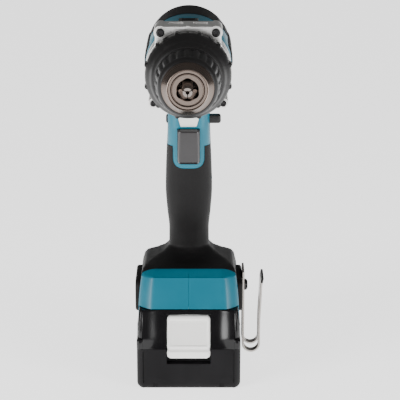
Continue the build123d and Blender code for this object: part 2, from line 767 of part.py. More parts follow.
with BuildPart() as gear_housing_screws:
    for x, z, _, head in ears:
        with BuildSketch(facing(flange_y + casting_screw_length - 0.5)):
            with Locations((x, z)):
                Circle(screw_r)
        extrude(amount=casting_screw_length - 0.5 + seat)
        with BuildSketch(facing(flange_y - seat)):
            with Locations((x, z)):
                Circle(head)
        extrude(amount=2.2)
finish(gear_housing_screws, "gear_housing_screws")

# ---- speed lever, direction lever, trigger, switch, lamp and board ------------------------
with BuildPart() as speed_lever:
    add(block((-speed_half, speed_half), speed_y, (axis_z + inner_r + play, axis_z + head_r + 0.9)))
    for y in (-8.5, -6.0, -3.5):
        add(block((-5, 5), (y - 0.6, y + 0.6), (axis_z + head_r + 0.8, axis_z + head_r + 1.6)))
    add(block((-3.8, 3.8), (-11.6, -8.4), (axis_z + ring_outer_r + 0.5, axis_z + inner_r + 1)))
    add(block((-3.5, 3.5), (-10.9, -9.1), (axis_z + ring_outer_r - 0.8, axis_z + ring_outer_r + 1)))
finish(speed_lever, "speed_lever")

with BuildPart() as direction_lever:
    add(block(lever_x, lever_y, (lever_z - lever_height / 2, lever_z + lever_height / 2)))
    fillet(direction_lever.edges().filter_by(Axis.Y), 1.2)
finish(direction_lever, "direction_lever")

switch_half = handle_levels[1][3] - wall - seat
switch_y = (-2.0, 21.0)
stem_r = 3.0
stem_z = trigger_z[0] + 13.4
with BuildPart() as switch_body:
    add(block((-switch_half, switch_half), switch_y, (trigger_z[0] + 0.4, lever_z - lever_height / 2 - 1)))
    with BuildSketch(facing(switch_y[1] - 5, 0, stem_z)):
        Circle(stem_r + fit)
    extrude(amount=30, mode=Mode.SUBTRACT)
    add(block((-8, 8), (2, 16), (trigger_z[0] - 8.1, trigger_z[0] + 0.4)))
finish(switch_body, "switch_body")

with BuildPart() as trigger:
    with BuildSketch(Plane.YZ):
        with BuildLine():
            Polyline((-9.5, trigger_z[1]), (-21.5, trigger_z[1]), (-22.6, trigger_z[1] - 1.5))
            ThreePointArc((-22.6, trigger_z[1] - 1.5), (-21.9, trigger_z[0] + 12.4),
                          (-20.4, trigger_z[0] + 3))
            ThreePointArc((-20.4, trigger_z[0] + 3), (-19.3, trigger_z[0] + 0.8), (-17, trigger_z[0]))
            Polyline((-17, trigger_z[0]), (-9.5, trigger_z[0]), (-9.5, trigger_z[1]))
        make_face()
    extrude(amount=trigger_half, both=True)
    with BuildSketch(facing(switch_y[1] - 5 - trigger_travel - 1, 0, stem_z)):
        Circle(stem_r)
    extrude(amount=switch_y[1] - 5 - trigger_travel - 1 + 9.5)
finish(trigger, "trigger")

with BuildPart() as lamp_lens:
    gap = 0.06
    extrude(front_face([(-7.8 + gap, lens_z[1] - gap), (7.8 - gap, lens_z[1] - gap),
                        (5.8 - gap, lens_z[0] + gap), (-5.8 + gap, lens_z[0] + gap)], -12.5),
            amount=-12.5 - lens_y)
finish(lamp_lens, "lamp_lens")

with BuildPart() as controller_board:
    with BuildSketch(Plane.XY.offset(foot_floor_z + seat)):
        with Locations((0, 8)):
            RectangleRounded(50, 60, 3)
    extrude(amount=7)
finish(controller_board, "controller_board")

blade_x = (-15.0, -5.0, 5.0, 15.0)
blade_half = 0.4
blade_z = (50.0, 54.8)
terminal_y = (38.0, rail_back_y + play)
terminal_half = 21.0
with BuildPart() as terminal_block:
    add(block((-terminal_half, terminal_half), terminal_y, (48.5, rail_top_z + play)))
finish(terminal_block, "terminal_block")

with BuildPart() as terminal_blades:
    for x in blade_x:
        add(block((x - blade_half, x + blade_half), (terminal_y[0] - 13, terminal_y[0]), blade_z))
finish(terminal_blades, "terminal_blades")

# ---- belt hook -----------------------------------------------------------------------------
strip = 1.6
strip_width = 23.0
strip_y = 0.5
leg_x = pad_half + seat + strip / 2
bend_r = 6.0
bend_z = 17.8
insert_bore_r = 1.7
with BuildPart() as belt_hook:
    with BuildLine(Plane(origin=(0, strip_y, 0), x_dir=(1, 0, 0), z_dir=(0, -1, 0))) as hook_line:
        Line((leg_x, 74), (leg_x, bend_z))
        ThreePointArc((leg_x, bend_z), (leg_x + bend_r, bend_z - bend_r), (leg_x + 2 * bend_r, bend_z))
        Line((leg_x + 2 * bend_r, bend_z), (leg_x + 2 * bend_r, 30))
        Line((leg_x + 2 * bend_r, 30), (leg_x + 2 * bend_r + 1.2, 62))
        Line((leg_x + 2 * bend_r + 1.2, 62), (leg_x + 2 * bend_r + 2.4, 69))
    with BuildSketch(Plane(origin=(leg_x, strip_y, 74), x_dir=(0, 1, 0), z_dir=(0, 0, -1))):
        Rectangle(strip_width, strip)
    sweep(path=hook_line.line, transition=Transition.RIGHT)
    add(block((leg_x - 3, leg_x + 3 * bend_r), (strip_y - 5.5, strip_y + 5.5), (5, 50)),
        mode=Mode.SUBTRACT)
    with BuildSketch(Plane.YZ.offset(leg_x - 2)):
        with Locations((0, insert_z)):
            Circle(2.2)
    extrude(amount=4, mode=Mode.SUBTRACT)
finish(belt_hook, "belt_hook")

with BuildPart() as belt_hook_screw:
    head_x = leg_x + strip / 2 + seat
    with BuildSketch(Plane.YZ.offset(head_x)):
        with Locations((0, insert_z)):
            Circle(4.3)
    extrude(amount=2.6)
    chamfer(belt_hook_screw.faces().sort_by(Axis.X)[-1].edges(), 1.1)
    with BuildSketch(Plane.YZ.offset(pad_half - insert_length + 0.5)):
        with Locations((0, insert_z)):
            Circle(insert_bore_r - seat)
    extrude(amount=head_x - pad_half + insert_length - 0.5)
    with BuildSketch(Plane.YZ.offset(head_x + 1)):
        with Locations((0, insert_z)):
            RegularPolygon(1.6, 6)
    extrude(amount=3, mode=Mode.SUBTRACT)
finish(belt_hook_screw, "belt_hook_screw")

with BuildPart() as hook_inserts:
    for side in (-1, 1):
        with BuildSketch(Plane.YZ.offset(side * (pad_half - insert_length))):
            with Locations((0, insert_z)):
                Circle(insert_r)
                Circle(insert_bore_r, mode=Mode.SUBTRACT)
        extrude(amount=side * insert_length)
finish(hook_inserts, "hook_inserts")

# ---- battery pack --------------------------------------------------------------------------
corner_r = 5.0
pack_front_y = -pack_half_length
pack_screw_y = pack_half_length - 5.6
pack_screw_places = [(x, y) for x in (-31.6, 31.6) for y in (-pack_screw_y, pack_screw_y)]
cell_pitch = 2 * cell_r + 0.6
cell_rows = (pack_wall + cell_r + 0.1, deck_z - pack_wall - 4.5 - cell_r)  # floor row, deck row


def pack_outline(z, inset=0.0):
    """The pack's rounded outline at height z, drawn in by the inset."""
    return level(z, inset - pack_half_length, pack_half_length - inset, pack_half_width - inset,
                 max(corner_r - inset, 1.0))


button_space = side_face([
    (pack_front_y - 5, 19.4), (pack_front_y - 5, 54.2), (hood_back_y - 1.8, 54.2),
    (hood_back_y - 1.8, 45.0), (hood_back_y - 6, 45.0), (pack_front_y + 4.6, 26.6),
    (pack_front_y + 4.6, 19.4),
])
post_r = 3.3
with BuildPart() as battery_lower:
    extrude(pack_outline(0), amount=pack_split_z)
    chamfer(battery_lower.faces().sort_by(Axis.Z)[0].edges(), 2.0)
    extrude(pack_outline(pack_wall, pack_wall), amount=pack_split_z, mode=Mode.SUBTRACT)
    with BuildSketch(Plane.XY.offset(pack_wall / 2)):
        for x, y in pack_screw_places:
            with Locations((x, y)):
                Circle(post_r)
    extrude(amount=pack_split_z - pack_wall / 2)
    extrude(button_space, amount=button_half + play, both=True, mode=Mode.SUBTRACT)
    for x, y in pack_screw_places:
        with BuildSketch(Plane.XY.offset(-1)):
            with Locations((x, y)):
                Circle(screw_r + seat)
        extrude(amount=40, mode=Mode.SUBTRACT)
        with BuildSketch(Plane.XY.offset(-1)):
            with Locations((x, y)):
                Circle(2.6)
        extrude(amount=4, mode=Mode.SUBTRACT)
    add(block((-37.4, 37.4), (pack_front_y - 3, pack_half_length + 3), (pack_split_z, 40)),
        mode=Mode.SUBTRACT)
finish(battery_lower, "battery_lower")

with BuildPart() as battery_upper:
    extrude(pack_outline(pack_split_z), amount=deck_z - pack_split_z)
    # rails with their flanges, and the hood over the release button
    add(block((-rail_neck_half, rail_neck_half), (hood_back_y - 1, rail_back_y), (deck_z - 1, rail_top_z)))
    add(block((-rail_half, rail_half), (hood_back_y - 1, rail_back_y), (rail_flange_z, rail_top_z)))
    with BuildSketch(Plane.XY.offset(deck_z - 1)):
        with Locations((0, (hood_back_y - pack_half_length) / 2)):
            Rectangle(2 * (pack_half_width - 0.6), pack_half_length + hood_back_y)
    extrude(amount=hood_top_z - deck_z + 1)
    # the front leans back above the split line, between two side wings
    before_y = pack_front_y - 5
    extrude(side_face([
        (before_y, pack_split_z + 1), (pack_front_y, pack_split_z + 1),
        (pack_front_y + 9.5, hood_top_z + 1), (before_y, hood_top_z + 1),
    ]), amount=32, both=True, mode=Mode.SUBTRACT)
    extrude(side_face([(before_y, 40), (pack_front_y - 0.1, 40), (pack_front_y + 6.5, hood_top_z + 1),
                       (before_y, hood_top_z + 1)]), amount=50, both=True, mode=Mode.SUBTRACT)
    # hollow for the cells and the board
    with BuildSketch(Plane.XY.offset(pack_split_z)):
        with Locations((0, 3.0)):
            RectangleRounded(2 * (pack_half_width - pack_wall), 2 * (pack_half_length - 5.5), 3)
    extrude(amount=deck_z - pack_wall - pack_split_z, mode=Mode.SUBTRACT)
    add(block((-24, 24), (14, terminal_y[0] - 2), (deck_z - pack_wall - 1, rail_top_z - 1.6)),
        mode=Mode.SUBTRACT)
    with BuildSketch(Plane.XY.offset(pack_split_z)):
        for x, y in pack_screw_places:
            with Locations((x, y)):
                Circle(post_r)
    extrude(amount=6)
    with BuildSketch(Plane.XY.offset(pack_split_z - 1)):
        for x, y in pack_screw_places:
            with Locations((x, y)):
                Circle(screw_r + seat)
    extrude(amount=6, mode=Mode.SUBTRACT)
    extrude(button_space, amount=button_half + play, both=True, mode=Mode.SUBTRACT)
    add(block((-8.3, 8.3), (hood_back_y - 6.4, hood_back_y - 1.8), (50, 60)), mode=Mode.SUBTRACT)
    # room for the tool's terminal block and its blades
    add(block((-terminal_half - play, terminal_half + play), (terminal_y[0] - play, 60), (48.0, 60)),
        mode=Mode.SUBTRACT)
    for x in blade_x:
        add(block((x - 1.2, x + 1.2), (30, 40), (blade_z[0] - 0.5, 60)), mode=Mode.SUBTRACT)
finish(battery_upper, "battery_upper")

with BuildPart() as battery_button:
    extrude(side_face([
        (pack_front_y, 24), (pack_front_y, 29.6), (pack_front_y + 1.1, 30.6), (pack_front_y + 1.1, 32),
        (pack_front_y + 8.3, 53.5), (hood_back_y - 2.6, 53.5), (hood_back_y - 2.6, 50.6),
        (pack_front_y + 10.6, 50.6), (pack_front_y + 3.8, 31), (pack_front_y + 3.8, 24),
    ]), amount=button_half, both=True)
    add(block((-8, 8), (hood_back_y - 5.9, hood_back_y - 2.3), (50.6, lip_z + 1.6)))
finish(battery_button, "battery_button")

with BuildPart() as battery_cells:
    for z in cell_rows:
        for k in range(-2, 3):
            with BuildSketch(Plane.YZ.offset(-cell_length / 2)):
                with Locations((k * cell_pitch, z)):
                    Circle(cell_r)
            extrude(amount=cell_length)
finish(battery_cells, "battery_cells")

board_z = cell_rows[1] + cell_r + 0.4
with BuildPart() as battery_board:
    add(block((-22, 22), (-26, 40), (board_z, board_z + 1.6)))
    for x in blade_x:
        for side in (-1, 1):
            leaf = x + side * (blade_half + 0.15 + 0.3)
            add(block((leaf - 0.3, leaf + 0.3), (25, 35), (board_z + 1, blade_z[1] - 0.6)))
finish(battery_board, "battery_board")

with BuildPart() as battery_screws:
    for x, y in pack_screw_places:
        with BuildSketch(Plane.XY.offset(3 + seat)):
            with Locations((x, y)):
                Circle(screw_r)
        extrude(amount=pack_split_z + 1)
        with BuildSketch(Plane.XY.offset(1.4)):
            with Locations((x, y)):
                Circle(2.5)
        extrude(amount=1.6)
finish(battery_screws, "battery_screws")
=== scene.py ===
import math
import bpy
import bmesh
import numpy as np
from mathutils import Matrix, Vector


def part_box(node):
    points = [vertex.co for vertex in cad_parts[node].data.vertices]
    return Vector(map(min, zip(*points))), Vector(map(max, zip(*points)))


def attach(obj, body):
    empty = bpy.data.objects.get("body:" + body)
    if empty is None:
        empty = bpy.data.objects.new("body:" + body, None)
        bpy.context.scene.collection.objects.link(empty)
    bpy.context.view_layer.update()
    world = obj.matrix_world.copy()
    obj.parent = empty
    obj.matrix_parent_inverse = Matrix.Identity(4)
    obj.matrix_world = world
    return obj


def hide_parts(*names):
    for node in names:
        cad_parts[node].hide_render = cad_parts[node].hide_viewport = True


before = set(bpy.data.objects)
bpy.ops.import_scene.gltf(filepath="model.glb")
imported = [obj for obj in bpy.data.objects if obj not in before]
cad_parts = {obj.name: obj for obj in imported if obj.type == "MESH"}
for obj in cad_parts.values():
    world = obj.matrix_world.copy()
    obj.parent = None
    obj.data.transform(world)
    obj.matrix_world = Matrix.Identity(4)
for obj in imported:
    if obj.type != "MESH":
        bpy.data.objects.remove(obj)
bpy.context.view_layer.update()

# ---- studio ------------------------------------------------------------------------------
# A wide pale floor that glows a little, with a soft light on each side of the front, the left
# one stronger. The camera stands a metre in front of the chuck and looks down a little.
mm = 0.001
lens_mm = 144.4
camera_place = (8.2 * mm, -1137 * mm, 454.6 * mm)
camera_down = 16.09
floor_half = 12.0
floor_glow = 1.8
room_glow = 0.16

camera_data = bpy.data.cameras.new("camera")
camera_data.lens = lens_mm
camera_data.sensor_width = 36.0
camera = bpy.data.objects.new("camera", camera_data)
camera.location = camera_place
camera.rotation_euler = (math.radians(90 - camera_down), 0, 0)
bpy.context.scene.collection.objects.link(camera)
bpy.context.scene.camera = camera


def soft_light(name, place, target, size, power):
    """A square area light of the given size that faces its target."""
    data = bpy.data.lights.new(name, "AREA")
    data.size = size
    data.energy = power
    light = bpy.data.objects.new(name, data)
    light.location = place
    light.rotation_euler = (Vector(target) - Vector(place)).to_track_quat("-Z", "Y").to_euler()
    bpy.context.scene.collection.objects.link(light)


soft_light("left", (-1.0, -0.85, 0.40), (0, 0, 0.14), 0.6, 17.0)
soft_light("right", (1.05, -0.80, 0.34), (0, 0, 0.12), 0.5, 12.0)

world = bpy.data.worlds.new("studio")
world.use_nodes = True
world.node_tree.nodes["Background"].inputs["Color"].default_value = (1.0, 1.0, 1.0, 1)
world.node_tree.nodes["Background"].inputs["Strength"].default_value = room_glow
bpy.context.scene.world = world

floor_data = bpy.data.meshes.new("floor")
floor_corners = [(x * floor_half, y * floor_half, 0) for x, y in ((-1, -1), (1, -1), (1, 1), (-1, 1))]
floor_data.from_pydata(floor_corners, [], [(0, 1, 2, 3)])
floor = bpy.data.objects.new("floor", floor_data)
bpy.context.scene.collection.objects.link(floor)
floor_paint = bpy.data.materials.new("floor_paint")
floor_paint.use_nodes = True
floor_shader = floor_paint.node_tree.nodes["Principled BSDF"]
floor_shader.inputs["Base Color"].default_value = (0.93, 0.93, 0.93, 1)
floor_shader.inputs["Roughness"].default_value = 0.8
floor_shader.inputs["Emission Color"].default_value = (1, 1, 1, 1)
floor_shader.inputs["Emission Strength"].default_value = floor_glow
floor_data.materials.append(floor_paint)

# ---- battery case, lower half ------------------------------------------------------------
# The bottom of the pack: a deep tray of glass-filled nylon with a spark-eroded texture,
# screwed up into the upper case from below. Its corners are chamfered at the floor.


def mesh_piece(name, points, faces, weld=True):
    """A mesh object from an array of points in millimetres and its faces, turned outwards.

    Welding merges doubled points, so that seams and poles close."""
    faces = faces.tolist() if isinstance(faces, np.ndarray) else faces
    data = bpy.data.meshes.new(name)
    data.from_pydata(np.asarray(points, float).reshape(-1, 3) * mm, [], faces)
    shape = bmesh.new()
    shape.from_mesh(data)
    if weld:
        bmesh.ops.remove_doubles(shape, verts=shape.verts, dist=1e-6)
        bmesh.ops.dissolve_degenerate(shape, edges=shape.edges, dist=1e-7)
    bmesh.ops.recalc_face_normals(shape, faces=shape.faces)
    shape.to_mesh(data)
    shape.free()
    piece = bpy.data.objects.new(name, data)
    bpy.context.scene.collection.objects.link(piece)
    return piece


def grid_faces(rows, columns, wrap_rows=False, wrap_columns=False):
    """Quads that join neighbouring points of a rows x columns grid, closed where it wraps."""
    number = np.arange(rows * columns).reshape(rows, columns)
    if wrap_rows:
        number = np.vstack([number, number[:1]])
    if wrap_columns:
        number = np.hstack([number, number[:, :1]])
    return np.stack([number[:-1, :-1], number[:-1, 1:], number[1:, 1:], number[1:, :-1]],
                    axis=-1).reshape(-1, 4)


def capped_piece(name, grid):
    """A closed solid over a stack of loops, with a flat face over the first and last loop."""
    rows, columns = grid.shape[:2]
    faces = grid_faces(rows, columns, wrap_columns=True).tolist()
    faces.append(list(range(columns)))
    faces.append(list(range((rows - 1) * columns, rows * columns)))
    return mesh_piece(name, grid, faces, weld=False)


def modified(piece, kind, **values):
    """Adds a modifier and applies it at once."""
    modifier = piece.modifiers.new(kind.lower(), kind)
    for key, value in values.items():
        setattr(modifier, key, value)
    made = bpy.data.meshes.new_from_object(
        piece.evaluated_get(bpy.context.evaluated_depsgraph_get()))
    piece.modifiers.clear()
    old = piece.data
    piece.data = made
    bpy.data.meshes.remove(old)
    return piece


def softened(piece, width, segments=2, angle=30):
    """Rounds the edges that turn by more than the angle, width in millimetres."""
    return modified(piece, "BEVEL", width=width * mm, segments=segments, limit_method="ANGLE",
                    angle_limit=math.radians(angle), use_clamp_overlap=True)


def cut(piece, cutter):
    """Takes the cutter's shape out of the piece and removes the cutter."""
    modified(piece, "BOOLEAN", operation="DIFFERENCE", object=cutter, solver="EXACT")
    bpy.data.objects.remove(cutter)
    return piece


def joined(name, parts):
    """One object that holds the meshes of several, which it takes over."""
    shape = bmesh.new()
    for part in parts:
        shape.from_mesh(part.data)
        bpy.data.objects.remove(part)
    data = bpy.data.meshes.new(name)
    shape.to_mesh(data)
    shape.free()
    piece = bpy.data.objects.new(name, data)
    bpy.context.scene.collection.objects.link(piece)
    return piece


def settle(piece, body, finish, stands_for=(), sharp=32):
    """Shades a finished piece, gives it its finish and hands it to its body."""
    piece.data.materials.clear()
    piece.data.materials.append(finish)
    piece.data.shade_smooth()
    piece.data.set_sharp_from_angle(angle=math.radians(sharp))
    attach(piece, body)
    if stands_for:
        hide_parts(*stands_for)
    return piece


def plan_loop(half, front, back, radius, corner=8, facet=0.0):
    """Points round a rounded rectangle seen from above, for one or many heights at once.

    Each side is straight, and each corner is a quarter circle of the given radius, which the
    facet value from 0 to 1 flattens towards a straight chamfer. The loop starts at the front
    centre and runs by +X to the back. Returns an array of heights x points x 2."""
    half, front, back, radius = np.broadcast_arrays(
        *[np.atleast_1d(np.asarray(v, float))[:, None] for v in (half, front, back, radius)])
    t = np.linspace(0, 1, corner)[None, :]
    arc_x, arc_y = np.sin(t * math.pi / 2), 1 - np.cos(t * math.pi / 2)
    arc_x = arc_x * (1 - facet) + t * facet
    arc_y = arc_y * (1 - facet) + t * facet
    side = np.linspace(0, 1, 14)[None, 1:-1]
    flat = np.array([[0.0, 0.012, 0.25, 0.5, 0.75, 0.92]])
    front_x = flat * (half - radius)
    x = [front_x, half - radius + arc_x * radius]
    y = [front + 0 * front_x, front + arc_y * radius]
    x.append(half + 0 * side)
    y.append(front + radius + side * (back - front - 2 * radius))
    x.append(half - radius + arc_x[:, ::-1] * radius)
    y.append(back - arc_y[:, ::-1] * radius)
    x.append(flat[:, :0:-1] * (half - radius))
    y.append(back + 0 * x[-1])
    right_x, right_y = np.hstack(x), np.hstack(y)
    centre = 0 * half[:, :1]
    x = np.hstack([right_x, centre, -right_x[:, :0:-1]])
    y = np.hstack([right_y, back[:, :1], right_y[:, :0:-1]])
    return np.stack([x, y], axis=-1)


def raised(loop, height):
    """Lifts flat loops to a height for each loop, or for each of its points."""
    height = np.asarray(height, float)
    if height.ndim == 1:
        height = height[:, None] + np.zeros(loop.shape[:2])
    return np.concatenate([loop, height[..., None]], axis=-1)


def turn(count):
    """Angles that divide a full turn into equal steps."""
    return np.linspace(0, 2 * math.pi, count, endpoint=False)


def box_piece(name, x, y, z):
    """A plain box between pairs of limits, used only to cut another piece."""
    corners = [(a, b, c) for c in z for b in y for a in x]
    return mesh_piece(name, corners, [(0, 1, 3, 2), (4, 6, 7, 5), (0, 4, 5, 1),
                                      (2, 3, 7, 6), (0, 2, 6, 4), (1, 5, 7, 3)])


def new_node(material, kind, source=None, **constants):
    """A shader node whose first input may be fed by another node's socket."""
    node = material.node_tree.nodes.new("ShaderNode" + kind)
    if source is not None:
        material.node_tree.links.new(source, node.inputs[0])
    for name, value in constants.items():
        node.inputs[name].default_value = value
    return node


def new_finish(name):
    """An empty material with its shader and the object's own coordinates."""
    material = bpy.data.materials.new(name)
    material.use_nodes = True
    shader = material.node_tree.nodes["Principled BSDF"]
    return material, shader, new_node(material, "TexCoord").outputs["Object"]


def wire_finish(material, shader, blotches, grain, shades, spread, gloss, bump, depth):
    """Blotches choose between two shades and two degrees of gloss, and the grain gives relief."""
    links = material.node_tree.links
    shade = new_node(material, "ValToRGB", blotches)
    for element, position, shade_colour in zip(shade.color_ramp.elements, spread, shades):
        element.position = position
        element.color = (*shade_colour, 1)
    links.new(shade.outputs["Color"], shader.inputs["Base Color"])
    sheen = new_node(material, "MapRange", blotches)
    sheen.inputs["To Min"].default_value, sheen.inputs["To Max"].default_value = gloss
    links.new(sheen.outputs["Result"], shader.inputs["Roughness"])
    relief = new_node(material, "Bump", Strength=bump, Distance=depth)
    links.new(grain, relief.inputs["Height"])
    links.new(relief.outputs["Normal"], shader.inputs["Normal"])


def moulded(name, colour, roughness, grain=900.0, bump=0.12, wear=0.12, coat=0.0, shine=0.5):
    """Moulded plastic or rubber: fine grain from noise, slow changes of shade and of gloss."""
    material, shader, place = new_finish(name)
    fine = new_node(material, "TexNoise", place, Scale=grain, Detail=3.0)
    broad = new_node(material, "TexNoise", place, Scale=38.0, Detail=5.0)
    shades = [c * (1 - wear) for c in colour], [min(1.0, c * (1 + wear) + 0.004) for c in colour]
    wire_finish(material, shader, broad.outputs["Fac"], fine.outputs["Fac"], shades, (0.3, 0.75),
                (roughness * 0.87, roughness * 1.13), bump, 0.0003)
    shader.inputs["Coat Weight"].default_value = coat
    shader.inputs["Specular IOR Level"].default_value = shine
    return material


case_black = moulded("case_black", (0.0035, 0.0031, 0.0038), 0.5, grain=1500, bump=0.25, shine=0.13)

pack_low, pack_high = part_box("battery_lower")
pack_half = pack_high.x / mm
pack_front = pack_low.y / mm
pack_back = pack_high.y / mm
split_z = pack_high.z / mm
edge_r = 5.0
button_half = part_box("battery_button")[1].x / mm
pillar_x = 32.6
screw_x, screw_y, screw_well_r = 31.6, 51.4, 2.7

levels = np.array([0.0, 0.6, 2.2, 4.0, 9.0, 18.0, 27.0, split_z - 0.5, split_z])
insets = np.array([2.6, 1.5, 0.4, 0.0, 0.0, 0.0, 0.0, 0.0, 0.35])
tray = plan_loop(pack_half - insets, pack_front + insets, pack_back - insets, edge_r - 0.6 * insets,
                 facet=0.45)
# the front sits back between the two corner pillars
at_front = (tray[..., 1] < pack_front + 3.5) & (np.abs(tray[..., 0]) < pillar_x)
tray[..., 1] += np.where(at_front, 0.9, 0.0)
lower_case = capped_piece("battery_lower_case", raised(tray, levels))

notches = []
for side in (-1, 1):
    foot_x = sorted((side * 22.4, side * 25.6))
    groove_x = sorted((side * 32.5, side * 33.0))
    notches.append(box_piece("notch", foot_x, (-60, pack_front + 2.0), (-1, 5)))
    notches.append(box_piece("groove", groove_x, (-60, pack_front + 1.5), (5, 29)))
notches.append(box_piece("button_gap", (-button_half - 0.4, button_half + 0.4), (-60, -50), (19.5, 40)))
for x, y in ((screw_x, screw_y), (-screw_x, screw_y), (screw_x, -screw_y), (-screw_x, -screw_y)):
    ring_x, ring_y = x + screw_well_r * np.cos(turn(24)), y + screw_well_r * np.sin(turn(24))
    well = [np.column_stack([ring_x, ring_y, np.full(24, z)]) for z in (-1.0, 3.0)]
    notches.append(capped_piece("well", np.stack(well)))
cut(lower_case, joined("lower_cutters", notches))
softened(lower_case, 0.35, 2, 40)
settle(lower_case, "battery", case_black, ["battery_lower"])

# ---- battery case, upper half ------------------------------------------------------------
# The polished upper case. Its front leans back in a shallow scoop round the release button,
# between two wings, and the rails that carry the pack stand on its deck.
case_gloss = moulded("case_gloss", (0.003, 0.0027, 0.0033), 0.19, grain=260, bump=0.02, wear=0.1,
                     shine=0.35)
deck_z = 46.0
hood_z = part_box("battery_upper")[1].z / mm
hood_back = -40.0
rail_half, rail_neck = 30.0, 26.0
rail_back = 46.0

levels = np.array([split_z, split_z + 0.5, 38.0, deck_z - 0.8, deck_z])
insets = np.array([0.35, 0.0, 0.0, 0.2, 0.9])
deck = plan_loop(pack_half - insets, pack_front + 8 + 0 * insets, pack_back - insets, edge_r, facet=0.3)
deck_case = capped_piece("battery_deck", raised(deck, levels))
cut(deck_case, box_piece("front_room", (-33.2, 33.2), (-62, hood_back + 0.5), (28, 62)))
softened(deck_case, 0.3, 2, 40)
settle(deck_case, "battery", case_gloss)

# the rails: a T in section, with slots for the terminal blades
rail_rows = [(rail_neck, deck_z - 1), (rail_neck, 51.0), (rail_half, 51.2), (rail_half, 56.6),
             (rail_half - 0.5, 57.0)]
rails = np.array([[(-half, hood_back - 2, z), (half, hood_back - 2, z), (half, rail_back, z),
                   (-half, rail_back, z)] for half, z in rail_rows])
rail_block = capped_piece("battery_rails", rails)
cut(rail_block, box_piece("terminal_gap", (-21.3, 21.3), (37.7, 60), (48, 60)))
for x in (-15, -5, 5, 15):
    cut(rail_block, box_piece("blade_gap", (x - 1.2, x + 1.2), (22, 38.5), (49.5, 60)))
softened(rail_block, 0.4, 2, 40)
settle(rail_block, "battery", case_gloss)


def sheet_solid(name, front, back):
    """A closed solid between two sheets of the same grid, joined round their edges."""
    rows, columns = front.shape[:2]
    size = rows * columns
    number = np.arange(size).reshape(rows, columns)
    faces = [grid_faces(rows, columns), grid_faces(rows, columns)[:, ::-1] + size]
    for edge in (number[0], number[-1], number[:, 0], number[:, -1]):
        faces.append(np.stack([edge[:-1], edge[1:], edge[1:] + size, edge[:-1] + size], -1))
    points = np.concatenate([front.reshape(-1, 3), back.reshape(-1, 3)])
    return mesh_piece(name, points, np.concatenate(faces))


# the scoop: x runs across, z up; the middle leans back and the sides curl forward to the wings
scoop_x = np.concatenate([np.linspace(-33, -16, 18), np.linspace(-15.9, 15.9, 13),
                          np.linspace(16, 33, 18)])
scoop_z = np.concatenate([np.linspace(split_z, 34, 6), np.linspace(35, hood_z - 0.8, 16), [hood_z]])
grid_x, grid_z = np.meshgrid(scoop_x, scoop_z)
rise = np.clip((grid_z - split_z) / (hood_z - split_z), 0, 1)
curl = np.clip((np.abs(grid_x) - 19) / 14, 0, 1)
curl = curl * curl * (3 - 2 * curl)
middle_y = pack_front + 1.3 + 8.7 * rise ** 0.8
wing_y = pack_front + 0.4 + 6.0 * np.clip((grid_z - 38) / 20, 0, 1)
front_y = middle_y * (1 - curl) + wing_y * curl
front_y += np.where(grid_z > hood_z - 0.5, 0.7, 0)
front = np.stack([grid_x, front_y, grid_z], -1)
back = np.stack([grid_x, np.full_like(grid_x, hood_back), grid_z], -1)
scoop = sheet_solid("battery_scoop", front, back)
button_room = button_half + 0.45
cut(scoop, box_piece("button_room", (-button_room, button_room), (-62, -41.5), (19, 54.4)))
cut(scoop, box_piece("tongue_room", (-8.4, 8.4), (-46.5, -41.6), (50, 62)))
softened(scoop, 0.25, 2, 45)
settle(scoop, "battery", case_gloss, ["battery_upper"])
# the wings: pillars that carry on the tray's corners and lean back to the hood's top
# height, outer half width, distance behind the pack's front, depth
wing_levels = ((split_z, 37.5, 0.0, 14), (37.2, 37.5, 0.0, 14), (37.9, 37.1, 0.5, 14),
               (38.4, 35.6, 2.2, 12), (39.2, 36.2, 1.4, 12), (45, 36.6, 2.4, 14), (52, 36.3, 4.3, 15),
               (58, 35.8, 6.3, 13), (hood_z, 35.2, 7.0, 12))
wing_inner = 32.8
for side, hand in ((1, "right"), (-1, "left")):
    wing_rows = []
    for z, outer, lead, depth in wing_levels:
        y = pack_front + lead
        wing_rows.append([(side * wing_inner, y + 0.6, z), (side * (outer - 1.6), y, z),
                          (side * outer, y + 1.8, z), (side * outer, y + depth, z),
                          (side * wing_inner, y + depth, z)])
    wing = capped_piece(f"battery_wing_{hand}", np.array(wing_rows))
    softened(wing, 0.35, 2, 35)
    settle(wing, "battery", case_gloss)

# ---- release button ----------------------------------------------------------------------
# A white polished moulding that slides down its slope and draws the latch tongue in. Its face
# is a shallow dish inside a raised border, over a thumb ledge.
button_white = moulded("button_white", (0.90, 0.89, 0.86), 0.3, grain=500, bump=0.03, wear=0.03,
                       coat=0.3)
button_low, button_top = 24.0, 53.6
corner_r = 2.6
across = np.linspace(-1, 1, 33)
# height and station of the button's middle line, from the ledge's foot to the top
profile = np.array([
    (button_low, -56.3), (24.1, -56.55), (24.4, -56.8), (24.9, -57.0), (25.6, -57.0), (26.4, -57.0),
    (28.8, -57.0), (29.6, -56.5), (30.2, -55.5), (31.0, -55.3), (31.7, -55.9), (32.2, -56.0),
    (32.9, -55.85), (33.6, -55.0), (36, -54.2), (42, -52.3), (48, -50.3), (50.3, -49.5),
    (50.9, -49.75), (51.3, -50.05), (51.9, -49.95), (52.5, -49.75), (53.0, -49.45), (53.35, -49.1),
    (53.55, -48.6), (button_top, -48.2)])
z_rows = profile[:, 0][:, None]
face_y = profile[:, 1][:, None] + 0 * across
side_rim = np.clip((np.abs(across) - 0.86) / 0.05, 0, 1)
inside = ((z_rows > 32.9) & (z_rows < 51)).astype(float)
face_y = face_y - 0.75 * side_rim * inside
edge_round = np.clip((np.abs(across) - 0.965) / 0.035, 0, 1)
corner_pull = 1.1 * edge_round ** 2
past_straight = np.maximum(z_rows - (button_top - corner_r), button_low + corner_r - z_rows)
into_corner = (past_straight / corner_r).clip(0, 1)
